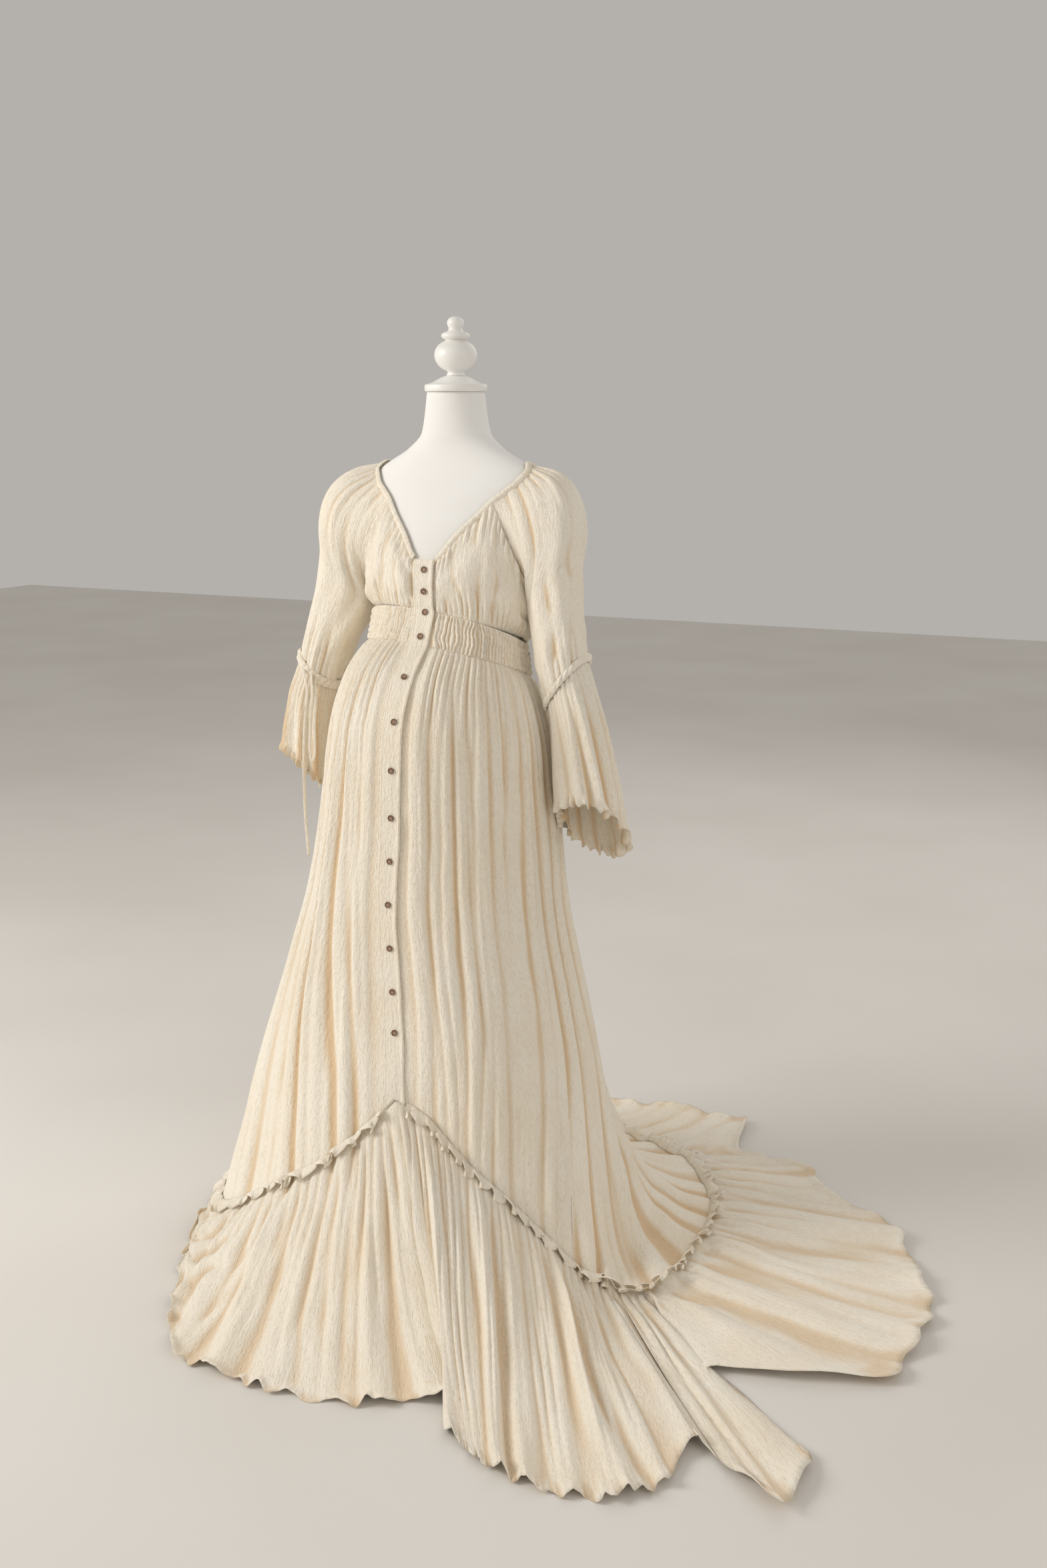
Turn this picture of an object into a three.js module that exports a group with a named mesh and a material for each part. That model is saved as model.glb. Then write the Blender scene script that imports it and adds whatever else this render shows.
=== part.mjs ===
// A button-front maxi dress of crinkled cotton gauze with a train, worn by a limbless dress form.
// Millimetres, +Z up. The form faces -Y and the wearer's left side is +X.
// The origin is the middle of the underside of the form's foot, on the floor.
import * as THREE from "three";

// Driving dimensions of the dress form
const torsoBottom = 704;
const neckTop = 1541;
const capRadius = 55;
const poleRadius = 17;
const footRadius = 165;
const footThickness = 14;
const footSides = 33;
const capHeight = 27;
const formGap = 0.3;

// Driving dimensions of the cloth
const wall = 2;
const placketWidth = 40;
const placketWall = 1.6;
const waistHeight = 1067;
const waistTilt = 42;
const waistTurn = 25;
const bandHeight = 57;
const frillDepth = 7;
const frillRipple = 2.4;
const frillWall = 1.6;
const frillSeat = { hanging: 2, lying: 3.1 };
const casingWidth = 8;
const elbowWall = 2.6;
const tieWidth = 6;
const tieThickness = 2.4;
const buttonRadius = 5.7;
const buttonThickness = 2.4;
const buttonShift = 2;
const buttonGap = 0.8;

// Gaps between pieces that are sewn together, and how far one lies above another
const seamGap = 0.4;
const layGap = 0.5;
const tieGap = 0.35;

// How far the cloth stands off the form at the neck, at the waist, and where it blouses
const standOffNeck = 5.6;
const standOffWaist = 11;
const blouseFront = 5;
const blouseSide = 15;
const shoulderPuff = 38;

// Depths of the folds, where they start and where they are full
const bodiceFold = { start: 1.6, full: 4.2 };
const bandFold = 3.2;
const skirtFoldDepth = { start: 4, full: 12 };
const flounceFold = { start: 7, full: 12 };
const sleeveFold = { start: 1.5, full: 6 };
const bellFold = { start: 2, full: 11 };

// Counts of folds round each part
const skirtPleats = 36;
const gathersPerPleat = 1.5;
const bandGathers = 30;
const sleeveFolds = 7;
const bellWaves = 10;

// Angles round the body are in degrees from the front towards the wearer's left
const placketAngle = 7.6;
const placketEdge = 5.2;
const sideSeamLeft = 92;
const sideSeamRight = 268;

// The rows of a table with a name for each column
const table = (names, rows) => rows.map((row) => Object.fromEntries(names.map((name, i) => [name, row[i]])));

// Horizontal rings of the dress form, from its lower edge to the neck
const formRings = table(["z", "halfWidth", "middle", "front", "back"], [
  [torsoBottom, 148, -20, -158, 104],
  [760, 170, -25, -212, 116],
  [840, 181, -30, -244, 114],
  [920, 180, -30, -248, 100],
  [1000, 154, -25, -218, 74],
  [1060, 138, -20, -168, 66],
  [1110, 132, -15, -128, 64],
  [1170, 138, -10, -112, 72],
  [1230, 148, 0, -120, 82],
  [1290, 160, 0, -104, 86],
  [1340, 174, 0, -80, 84],
  [1375, 178, 0, -62, 76],
  [1400, 162, 0, -50, 64],
  [1418, 134, 0, -46, 55],
  [1440, 96, 0, -45, 49],
  [1470, 65, 0, -49, 49],
  [neckTop, 52, 0, -50, 50],
]);

// Rings of the hanging skirt, each at a share of the waist's height above the floor. Turn is in degrees.
const skirtRings = table(["level", "shift", "turn", "halfWidth", "middle", "front", "back"], [
  [1, 0, 0, 153, -37, -149, 86],
  [0.952, 0, 1, 180, -45, -211, 96],
  [0.888, 0, 2, 198, -50, -253, 110],
  [0.815, -2, 2.4, 208, -55, -264, 118],
  [0.706, -6, 2.4, 224, -62, -264, 126],
  [0.597, -12, 2.4, 243, -70, -268, 138],
]);

// The fall of the cloth below the hips, a row for each line of grain round the body. The knee is where
// it hangs free and the seam joins the flounce. The foot is the share of the flounce that hangs.
const falls = table(["angle", "kneeX", "kneeY", "kneeZ", "seamX", "seamY", "seamZ", "hemX", "hemY", "foot"], [
  [0, 18, -288, 450, 45, -334, 324, 318, -600, 0.7],
  [12, 78, -282, 445, 98, -326, 300, 384, -752, 0.6],
  [30, 150, -262, 430, 187, -331, 228, 474, -806, 0.5],
  [46, 208, -226, 418, 257, -317, 168, 560, -818, 0.45],
  [62, 248, -170, 398, 318, -300, 108, 650, -800, 0.4],
  [74.6, 268, -118, 376, 366, -292, 64, 700, -752, 0.3],
  [81, 276, -90, 362, 396, -288, 44, 716, -716, 0.25],
  [87.3, 281, -62, 344, 424, -284, 30, 714, -612, 0.2],
  [93.7, 284, -34, 322, 450, -277, 22, 796, -664, 0.2],
  [96.9, 284, -20, 312, 463, -271, 19, 882, -718, 0.2],
  [100.1, 283, -6, 302, 475, -262, 17, 892, -596, 0.2],
  [103.3, 281, 8, 294, 486, -249, 15, 668, -432, 0.2],
  [106.5, 279, 22, 287, 496, -230, 14, 800, -384, 0.2],
  [109.7, 276, 34, 281, 504, -204, 13, 940, -318, 0.2],
  [121, 264, 64, 264, 506, -51, 12, 950, -110, 0.2],
  [134, 240, 102, 248, 490, 80, 12, 872, 84, 0.2],
  [142.6, 216, 128, 240, 456, 170, 12, 800, 214, 0.2],
  [149, 196, 146, 237, 418, 232, 12, 660, 286, 0.2],
  [155, 174, 160, 235, 380, 276, 12, 596, 372, 0.2],
  [161, 152, 172, 235, 334, 310, 12, 450, 390, 0.2],
  [167, 126, 182, 236, 284, 332, 12, 392, 560, 0.2],
  [175, 88, 194, 239, 206, 350, 12, 262, 576, 0.2],
  [189, 0, 202, 246, 60, 360, 12, 60, 550, 0.2],
  [206, -106, 188, 256, -104, 336, 12, -142, 506, 0.2],
  [222, -192, 142, 276, -236, 256, 14, -320, 386, 0.2],
  [237, -252, 80, 300, -322, 138, 20, -416, 204, 0.25],
  [252, -296, -4, 326, -368, -14, 34, -440, 10, 0.3],
  [268, -316, -90, 350, -372, -172, 48, -430, -186, 0.35],
  [284, -308, -168, 380, -332, -322, 66, -360, -392, 0.45],
  [300, -268, -226, 410, -256, -408, 96, -258, -588, 0.5],
  [316, -202, -264, 430, -150, -420, 160, -112, -758, 0.5],
  [332, -124, -286, 440, -60, -404, 212, 50, -772, 0.55],
  [346, -52, -292, 446, -2, -374, 268, 194, -750, 0.6],
  [360, 18, -288, 450, 45, -334, 324, 332, -668, 0.6],
]);

// The neckline's height on the form, by the angle from the front
const neckline = table(["angle", "z"], [
  [0, 1250],
  [8, 1252],
  [20, 1294],
  [28, 1320],
  [38, 1354],
  [60, 1392],
  [90, 1412],
  [130, 1396],
  [180, 1380],
]);

// The raglan seams from the neckline, share 0, to the underarm, share 1
const raglans = table(["share", "frontAngle", "frontZ", "backAngle", "backZ"], [
  [0, 36, 1348, 144, 1389],
  [0.3, 50, 1300, 130, 1330],
  [0.6, 66, 1240, 114, 1256],
  [0.85, 80, 1190, 101, 1194],
  [1, 92, 1162, 92, 1162],
]);

// Each sleeve, with the ring where it leaves the body, its elbow seam and the hem of its bell.
// Lean lifts the outer side of a ring and dip lowers its back.
const sleeves = [
  {
    name: "left",
    sign: 1,
    rings: [
      { at: 0, x: 205, y: -14, z: 1212, halfWidth: 41, halfDepth: 60, lean: 50, dip: 0 },
      { at: 1, x: 238, y: -38, z: 1042, halfWidth: 33, halfDepth: 44, lean: 47, dip: 0 },
      { at: 1.4, x: 262, y: -36, z: 950, halfWidth: 42, halfDepth: 60, lean: 28, dip: 22 },
      { at: 2, x: 290, y: -30, z: 770, halfWidth: 54, halfDepth: 80, lean: 4, dip: 64 },
    ],
  },
  {
    name: "right",
    sign: -1,
    rings: [
      { at: 0, x: 212, y: -16, z: 1212, halfWidth: 52, halfDepth: 62, lean: 50, dip: 0 },
      { at: 1, x: 270, y: -42, z: 1036, halfWidth: 33, halfDepth: 42, lean: 29, dip: 0 },
      { at: 1.4, x: 286, y: -44, z: 952, halfWidth: 42, halfDepth: 48, lean: 34, dip: 12 },
      { at: 2, x: 296, y: -46, z: 830, halfWidth: 44, halfDepth: 50, lean: 42, dip: 26 },
    ],
  },
];

// Where the elbow casing and the bell lie, counted as the sleeve rings are
const elbowSpan = { from: 1.002, to: 1.048, bellFrom: 1.053 };

// Heights of the button centres down the placket
const buttonHeights = [1234, 1197, 1157, 1117, 1056, 980, 898, 817, 738, 657, 580, 504, 434];

const radians = THREE.MathUtils.degToRad;
const mix = THREE.MathUtils.lerp;
const clamp = THREE.MathUtils.clamp;
const smoothstep = THREE.MathUtils.smoothstep;

// A smooth curve through each column of a table, which never overshoots its rows
function curveThrough(rows, key) {
  const columns = Object.keys(rows[0]).filter((name) => name !== key);
  const knots = rows.map((row) => row[key]);
  const slopes = {};
  for (const name of columns) {
    const rise = (i) => (rows[i + 1][name] - rows[i][name]) / (knots[i + 1] - knots[i]);
    slopes[name] = rows.map((row, i) => {
      if (i === 0) return rise(0);
      if (i === rows.length - 1) return rise(i - 1);
      const product = rise(i - 1) * rise(i);
      return product <= 0 ? 0 : (2 * product) / (rise(i - 1) + rise(i));
    });
  }
  const up = knots[knots.length - 1] > knots[0];
  return (at) => {
    let i = 0;
    while (i < rows.length - 2 && (up ? at > knots[i + 1] : at < knots[i + 1])) i += 1;
    const span = knots[i + 1] - knots[i];
    const t = clamp((at - knots[i]) / span, 0, 1);
    const row = {};
    for (const name of columns) {
      row[name] =
        rows[i][name] * (1 + 2 * t) * (1 - t) ** 2 +
        rows[i + 1][name] * t * t * (3 - 2 * t) +
        slopes[name][i] * span * t * (1 - t) ** 2 -
        slopes[name][i + 1] * span * t * t * (1 - t);
    }
    return row;
  };
}

const formAt = curveThrough(formRings, "z");
const fallAt = curveThrough(falls, "angle");
const necklineAt = curveThrough(neckline, "angle");
const raglanAt = curveThrough(raglans, "share");

// A steady uneven number from 0 to 1 for each whole number
function uneven(n) {
  const s = Math.sin(n * 12.9898) * 43758.5453;
  return s - Math.floor(s);
}

// A broad soft fold between two narrow valleys, one for each whole step of its phase
const foldShape = (phase) => 1 - Math.cos(Math.PI * phase) ** 4;
const waveShape = (phase) => Math.sin(Math.PI * phase) ** 2;
const vector = (x, y, z) => new THREE.Vector3(x, y, z);

// A point of a ring: half an ellipse to the front of its middle and half to the back
function ringPoint(ring, angle, z) {
  const turn = radians(angle + (ring.turn ?? 0));
  const depth = Math.cos(turn) > 0 ? ring.middle - ring.front : ring.back - ring.middle;
  const x = (ring.shift ?? 0) + ring.halfWidth * Math.sin(turn);
  return vector(x, ring.middle - depth * Math.cos(turn), z);
}

// The outward normal of a surface whose first coordinate runs to the wearer's left and second runs down
function normalOf(surface, a, b, stepA, stepB) {
  const across = surface(a + stepA, b).sub(surface(a - stepA, b));
  const down = surface(a, b + stepB).sub(surface(a, b - stepB));
  return down.cross(across).normalize();
}

const formPoint = (angle, z) => ringPoint(formAt(z), angle, z);
const formNormal = (angle, z) => normalOf((a, drop) => formPoint(a, -drop), angle, -z, 0.5, 1);

const neckHeight = (angle) => necklineAt(angle > 180 ? 360 - angle : Math.abs(angle)).z;

// The lower edge of the smocked band rides up over the belly and dips behind
const bandBottom = (angle) => waistHeight + waistTilt * Math.cos(radians(angle + waistTurn));
const bandTop = (angle) => bandBottom(angle) + bandHeight;

// How far the bodice and the sleeve tops stand off the form
function standOff(angle, z) {
  const neck = neckHeight(angle);
  const share = clamp((neck - z) / (neck - bandTop(angle)), 0, 1);
  const side = Math.sin(radians(angle)) ** 2;
  const blouse = mix(blouseFront, blouseSide, side) * Math.sin(Math.PI * share ** 2);
  return mix(standOffNeck, standOffWaist, share) + blouse;
}

// The way the bodice stands off: square to the form, but level where it meets the band
function bodiceNormal(angle, z) {
  const normal = formNormal(angle, z);
  const above = smoothstep(z - bandTop(angle), 0, 110);
  normal.z *= above;
  return normal.normalize();
}

// The gathered bodice without its folds
function bodiceBase(angle, z) {
  return formPoint(angle, z).addScaledVector(bodiceNormal(angle, z), standOff(angle, z));
}

// Shares of a bodice panel's width that end in a raglan seam, and the rows along such a seam
const frontRaglan = 0.5;
const backRaglan = 0.3;
const raglanSteps = 6;

// The upper edge of a bodice panel: the neckline and the raglan seams beside it, as angle and height
function bodiceEdge(panel, share) {
  if (panel === "back") {
    if (share < backRaglan) return raglanSpot("back", 1, 1 - share / backRaglan);
    if (share > 1 - backRaglan) return raglanSpot("back", -1, (share + backRaglan - 1) / backRaglan);
    const { backAngle } = raglans[0];
    const angle = mix(backAngle, 360 - backAngle, (share - backRaglan) / (1 - 2 * backRaglan));
    return { angle, z: neckHeight(angle) };
  }
  const out = panel === "front_left" ? share : 1 - share;
  const sign = panel === "front_left" ? 1 : -1;
  if (out > 1 - frontRaglan) return raglanSpot("front", sign, (out + frontRaglan - 1) / frontRaglan);
  const angle = mix(0.12, raglans[0].frontAngle, out / (1 - frontRaglan));
  return { angle: sign > 0 ? angle : 360 - angle, z: neckHeight(angle) };
}

// Columns of a bodice panel, evenly along its neckline and evenly along each raglan seam
function bodiceColumns(panel) {
  const up = (from, to, count) => steps(from, to, count).slice(1);
  if (panel === "back") {
    const middle = up(backRaglan, 1 - backRaglan, 14);
    return [0, ...up(0, backRaglan, raglanSteps), ...middle, ...up(1 - backRaglan, 1, raglanSteps)];
  }
  const out = [0, ...up(0, 1 - frontRaglan, 11), ...up(1 - frontRaglan, 1, raglanSteps)];
  return panel === "front_left" ? out : out.map((share) => 1 - share).reverse();
}

function raglanSpot(face, sign, share) {
  const row = raglanAt(share);
  const angle = row[face + "Angle"];
  return { angle: sign > 0 ? angle : 360 - angle, z: row[face + "Z"] };
}

const panels = [
  { name: "front_left", from: 0.12, to: sideSeamLeft - 0.12 },
  { name: "back", from: sideSeamLeft + 0.12, to: sideSeamRight - 0.12 },
  { name: "front_right", from: sideSeamRight + 0.12, to: 359.88 },
];

// Gathers of a bodice panel, one for every two of its columns
function bodicePhase(panel, share) {
  const columns = bodiceColumns(panel);
  let i = 0;
  while (i < columns.length - 2 && share > columns[i + 1]) i += 1;
  return (i + (share - columns[i]) / (columns[i + 1] - columns[i])) / 2;
}

function bodicePoint(panel, share, v) {
  const top = bodiceEdge(panel.name, clamp(share, 0, 1));
  const bottomAngle = mix(panel.from, panel.to, share);
  const angle = clamp(mix(top.angle, bottomAngle, v), panel.from, panel.to);
  const z = mix(top.z - seamGap, bandTop(bottomAngle) + 2 * seamGap, v);
  const point = bodiceBase(angle, z);
  const fromFront = Math.min(angle, 360 - angle);
  const beside = smoothstep(fromFront, placketAngle, placketAngle + 4);
  const edge = beside * smoothstep(share, 0, 0.06) * smoothstep(1 - share, 0, 0.06);
  const depth = mix(bodiceFold.start, bodiceFold.full, smoothstep(v, 0, 0.4));
  const raise = edge * depth * waveShape(bodicePhase(panel.name, share));
  return point.addScaledVector(bodiceNormal(angle, z), raise);
}

// One line of grain of the hanging skirt, from the band to the seam above the flounce
function grainLine(angle) {
  const top = bandBottom(angle) - 2 * seamGap;
  const fall = fallAt(angle);
  const points = skirtRings.map((ring) => ringPoint(ring, angle, top * ring.level));
  const knee = vector(fall.kneeX, fall.kneeY, fall.kneeZ);
  const seam = vector(fall.seamX, fall.seamY, fall.seamZ);
  points.push(knee);
  if (fall.seamZ < 60) {
    const landing = knee.clone().lerp(seam, 0.55);
    landing.z = mix(fall.seamZ + 24, landing.z, smoothstep(fall.seamZ, 12, 60));
    points.push(landing);
  }
  points.push(seam);
  return new THREE.CatmullRomCurve3(points, false, "centripetal");
}

const grainLines = new Map();
function skirtBase(angle, v) {
  const key = angle.toFixed(4);
  if (!grainLines.has(key)) grainLines.set(key, grainLine(angle));
  return grainLines.get(key).getPointAt(clamp(v, 0, 1));
}

// The flounce leaves the seam, sweeps down to its foot and lies out to the hem
function flounceBase(angle, v) {
  const fall = fallAt(angle);
  const seam = vector(fall.seamX, fall.seamY, fall.seamZ);
  const hem = vector(fall.hemX, fall.hemY, wall);
  const foot = seam.clone().lerp(hem, fall.foot);
  foot.z = mix(seam.z, wall, 0.94);
  return new THREE.QuadraticBezierCurve3(seam, foot, hem).getPoint(v);
}

const inner = (share, step) => clamp(share, step, 1 - step);
const skirtPhase = (angle) => ((angle - placketAngle) / (360 - 2 * placketAngle)) * skirtPleats;
const skirtAngle = (phase) => placketAngle + (phase / skirtPleats) * (360 - 2 * placketAngle);

function skirtFold(angle, v) {
  const phase = skirtPhase(angle);
  const strength = mix(1, 0.3 + 0.7 * uneven(Math.floor(phase) + 3), smoothstep(v, 0.05, 0.4));
  const flat = smoothstep(phase, 0, 0.34) * smoothstep(skirtPleats - phase, 0, 0.34);
  const depth = mix(skirtFoldDepth.start, skirtFoldDepth.full, smoothstep(v, 0, 0.35));
  return flat * strength * depth * foldShape(phase);
}

const skirtNormal = (angle, v) => normalOf(skirtBase, angle, inner(v, 0.004), 0.4, 0.004);

// A point of the pleated skirt, and one of the gathered flounce below its seam
function skirtPoint(angle, v) {
  return skirtBase(angle, v).addScaledVector(skirtNormal(angle, v), skirtFold(angle, v));
}


function flouncePoint(angle, v) {
  const phase = skirtPhase(angle) * gathersPerPleat;
  const depth = mix(flounceFold.start, flounceFold.full, smoothstep(v, 0, 0.4));
  const own = (0.5 + 0.5 * uneven(Math.floor(phase) + 11)) * depth * waveShape(phase);
  const leave = smoothstep(v, 0, 0.15);
  const lying = normalOf(flounceBase, angle, inner(v, 0.01), 0.4, 0.01);
  const normal = skirtNormal(angle, 1).lerp(lying, leave).normalize();
  return flounceBase(angle, v).addScaledVector(normal, mix(skirtFold(angle, 1), own, leave));
}

const seamNormal = (angle) => normalOf(skirtPoint, angle, 0.99, 0.4, 0.008);

// The smocked band, drawn in by its rows of elastic
function bandPoint(angle, v) {
  const ring = { ...skirtRings[0] };
  ring.halfWidth -= mix(8, 0, v);
  ring.front += mix(25, 0, v);
  ring.back -= mix(9, 0, v);
  const point = ringPoint(ring, angle, bandBottom(angle) + bandHeight * (1 - v));
  const phase = ((angle - placketAngle) / (360 - 2 * placketAngle)) * bandGathers;
  const flat = smoothstep(phase, 0, 0.4) * smoothstep(bandGathers - phase, 0, 0.4);
  const row = 0.4 + 0.6 * Math.abs(Math.sin(Math.PI * v * 4));
  const out = vector(point.x, point.y - ring.middle, 0).normalize();
  return point.addScaledVector(out, bandFold * flat * row * waveShape(phase));
}
const bandAngle = (phase) => placketAngle + (phase / bandGathers) * (360 - 2 * placketAngle);

// A closed wall over a grid of surface points, with the cloth's thickness behind them
function clothWall(columns, rows, surface, options = {}) {
  const { thickness = wall, closed = false, stepA = 0.3, stepB = 0.01, normalAt } = options;
  const faces = [];
  const backs = [];
  for (const a of columns) {
    for (const b of rows) {
      const normal = normalAt?.(a, b) ?? normalOf(surface, a, b, stepA, stepB);
      const face = surface(a, b);
      const back = face.clone().addScaledVector(normal, -thickness);
      back.z = Math.max(back.z, 0);
      face.z = Math.max(face.z, thickness);
      faces.push(face);
      backs.push(back);
    }
  }
  const layers = [faces, backs];
  const pointAt = (i, j, side) => layers[side][i * rows.length + j];
  return gridSolid(columns.length, rows.length, pointAt, closed);
}

// A solid between two layers of points in columns and rows; a closed one joins its last column to its first
function gridSolid(across, down, pointAt, closed = false) {
  const points = [];
  for (const side of [0, 1]) {
    for (let i = 0; i < across; i += 1) {
      for (let j = 0; j < down; j += 1) points.push(pointAt(i, j, side));
    }
  }
  const at = (i, j, side) => side * across * down + (i % across) * down + j;
  const index = [];
  const quad = (p, q, r, s) => index.push(p, q, r, p, r, s);
  const spans = closed ? across : across - 1;
  for (let i = 0; i < spans; i += 1) {
    for (let j = 0; j < down - 1; j += 1) {
      quad(at(i, j, 0), at(i, j + 1, 0), at(i + 1, j + 1, 0), at(i + 1, j, 0));
      quad(at(i, j, 1), at(i + 1, j, 1), at(i + 1, j + 1, 1), at(i, j + 1, 1));
    }
    quad(at(i, 0, 1), at(i, 0, 0), at(i + 1, 0, 0), at(i + 1, 0, 1));
    quad(at(i, down - 1, 0), at(i, down - 1, 1), at(i + 1, down - 1, 1), at(i + 1, down - 1, 0));
  }
  for (let j = 0; j < down - 1 && !closed; j += 1) {
    quad(at(0, j, 0), at(0, j, 1), at(0, j + 1, 1), at(0, j + 1, 0));
    quad(at(across - 1, j, 1), at(across - 1, j, 0), at(across - 1, j + 1, 0), at(across - 1, j + 1, 1));
  }
  return meshed(points, index);
}

function meshed(points, index) {
  const geometry = new THREE.BufferGeometry();
  const values = points.flatMap((p) => [p.x, p.y, p.z]);
  geometry.setAttribute("position", new THREE.Float32BufferAttribute(values, 3));
  geometry.setIndex(index);
  return geometry;
}

// A solid between stacked rings of points, closed at both ends
function stacked(rings) {
  const count = rings[0].length;
  const middle = (ring) => ring.reduce((sum, p) => sum.add(p), vector(0, 0, 0)).divideScalar(count);
  const points = [...rings.flat(), middle(rings[0]), middle(rings[rings.length - 1])];
  const index = [];
  for (let i = 0; i < count; i += 1) {
    const next = (i + 1) % count;
    for (let j = 0; j < rings.length - 1; j += 1) {
      const [a, b, c, d] = [j * count + i, j * count + next, (j + 1) * count + next, (j + 1) * count + i];
      index.push(a, b, c, a, c, d);
    }
    const last = (rings.length - 1) * count;
    index.push(points.length - 2, next, i, points.length - 1, last + i, last + next);
  }
  return meshed(points, index);
}

const steps = (from, to, count) => Array.from({ length: count + 1 }, (_, i) => mix(from, to, i / count));

const gauze = new THREE.MeshStandardMaterial({ color: 0xe9d9b8, roughness: 0.95, metalness: 0 });
const whiteJersey = new THREE.MeshStandardMaterial({ color: 0xf1efea, roughness: 0.9, metalness: 0 });
const whitePaint = new THREE.MeshStandardMaterial({ color: 0xf3f2ee, roughness: 0.55, metalness: 0 });
const coconutShell = new THREE.MeshStandardMaterial({ color: 0x7a5a3e, roughness: 0.6, metalness: 0 });

const dressOnForm = new THREE.Group();
function add(name, geometry, material = gauze) {
  const mesh = new THREE.Mesh(geometry, material);
  mesh.name = name;
  dressOnForm.add(mesh);
}

// Columns of a panel at even shares of its folds, with the panel's own edges kept
function foldColumns(from, to, phaseOf, angleOf, perFold) {
  const first = Math.ceil(phaseOf(from) * perFold + 0.35);
  const last = Math.floor(phaseOf(to) * perFold - 0.35);
  return [from, ...steps(first, last, last - first).map((i) => angleOf(i / perFold)), to];
}
const skirtColumns = (panel) => foldColumns(panel.from, panel.to, skirtPhase, skirtAngle, 3);

// Shares down each part at which its wall has points; the ends leave the seams their gap
const skirtRows = [0.0004, 0.05, 0.13, 0.26, 0.46, 0.68, 0.86, 0.9996];
const flounceRows = [0.002, 0.16, 0.38, 0.66, 1];
const bandRows = [0.003, 0.33, 0.67, 0.997];
const bodiceRows = [0, 0.2, 0.4, 0.6, 0.8, 1];
const sleeveRows = [0.54, 0.68, 0.84, 0.997];
const bellRows = [0, 0.25, 0.6, 1];

function addSkirt() {
  for (const panel of panels) {
    const columns = skirtColumns(panel);
    const atSeam = (limit) => (a, v) => (limit(v) ? seamNormal(a) : undefined);
    const hang = { stepB: 0.004, normalAt: atSeam((v) => v > 0.99) };
    add("skirt_" + panel.name, clothWall(columns, skirtRows, skirtPoint, hang));
    const lie = { normalAt: atSeam((v) => v < 0.01) };
    add("hem_flounce_" + panel.name, clothWall(columns, flounceRows, flouncePoint, lie));
    const from = Math.max(panel.from, placketEdge);
    const to = Math.min(panel.to, 360 - placketEdge);
    const frill = foldColumns(from, to, skirtPhase, skirtAngle, 3);
    const seat = panel.name === "back" ? frillSeat.lying : frillSeat.hanging;
    const surface = (angle, w) => frillPoint(angle, w, seat);
    add("seam_frill_" + panel.name, clothWall(frill, [0, 1], surface, { thickness: frillWall }));
  }
}

// The raw gathered edge that stands out along the seam above the flounce
function frillPoint(angle, w, seat) {
  const seam = skirtPoint(angle, 1);
  const down = seam.clone().sub(skirtPoint(angle, 0.994)).normalize();
  const ripple = frillRipple * Math.cos(3 * Math.PI * skirtPhase(angle));
  return seam
    .addScaledVector(seamNormal(angle), seat + w * (frillDepth + ripple))
    .addScaledVector(down, mix(-4, 2, w));
}

function addBand() {
  const phase = (angle) => ((angle - placketAngle) / (360 - 2 * placketAngle)) * bandGathers;
  for (const panel of panels) {
    const columns = foldColumns(panel.from, panel.to, phase, bandAngle, 2);
    add("smocked_band_" + panel.name, clothWall(columns, bandRows, bandPoint));
  }
}

function addBodice() {
  for (const panel of panels) {
    const columns = bodiceColumns(panel.name);
    const surface = (share, v) => bodicePoint(panel, share, v);
    const normalAt = (share, v) => {
      const top = bodiceEdge(panel.name, share);
      const bottomAngle = mix(panel.from, panel.to, share);
      const edge = v < 0.01 || share < 0.01 || share > 0.99;
      const angle = mix(top.angle, bottomAngle, v);
      return edge ? bodiceNormal(angle, mix(top.z, bandTop(bottomAngle), v)) : undefined;
    };
    add("bodice_" + panel.name, clothWall(columns, bodiceRows, surface, { stepA: 0.004, normalAt }));
  }
}

function addNeckCasing() {
  const ribbon = (angle, w) => {
    const curve = (a) => bodiceBase(a, neckHeight(a));
    const along = curve(angle + 0.4).sub(curve(angle - 0.4)).normalize();
    const normal = formNormal(angle, neckHeight(angle));
    const down = along.clone().cross(normal).negate();
    const ripple = 0.5 * Math.cos(radians(angle) * 44);
    const lift = wall + 1.3 + ripple;
    return curve(angle).addScaledVector(normal, lift).addScaledVector(down, casingWidth * (w - 0.375));
  };
  const columns = steps(placketAngle + 0.8, 360 - placketAngle - 0.8, 38);
  add("neck_casing", clothWall(columns, [0, 1], ribbon, { stepB: 0.05 }));
}

// A point of the ring round a sleeve; turn 0 is its outer side and the ends meet at its inner side
const sleeveRings = new Map(sleeves.map((sleeve) => [sleeve, curveThrough(sleeve.rings, "at")]));
function sleeveRing(sleeve, turn, at) {
  const ring = sleeveRings.get(sleeve)(at);
  const outward = Math.cos(turn);
  const backward = Math.sin(turn);
  return vector(
    sleeve.sign * (ring.x + ring.halfWidth * outward),
    ring.y + ring.halfDepth * backward,
    ring.z + ring.lean * outward - ring.dip * backward,
  );
}

// The raglan edge of a sleeve, just beyond the bodice's edge
function sleeveEdge(sleeve, face, share) {
  const spot = (s) => {
    const { angle, z } = raglanSpot(face, sleeve.sign, s);
    return bodiceBase(angle, z);
  };
  const s = clamp(share, 0, 1) * (1 - 0.02 * share ** 8);
  const along = spot(s + 0.01).sub(spot(s - 0.01 > 0 ? s - 0.01 : 0)).normalize();
  const { angle, z } = raglanSpot(face, sleeve.sign, s);
  const side = bodiceNormal(angle, z).cross(along).multiplyScalar(mix(0.6, 1.6, smoothstep(s, 0.7, 1)));
  const toward = side.dot(vector(sleeve.sign * 0.6, 0, 1)) > 0 ? 1 : -1;
  const over = (wall + 0.6) * smoothstep(s, 0.3, 0.75);
  return spot(s).addScaledVector(side, toward).addScaledVector(bodiceNormal(angle, z), over);
}

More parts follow.
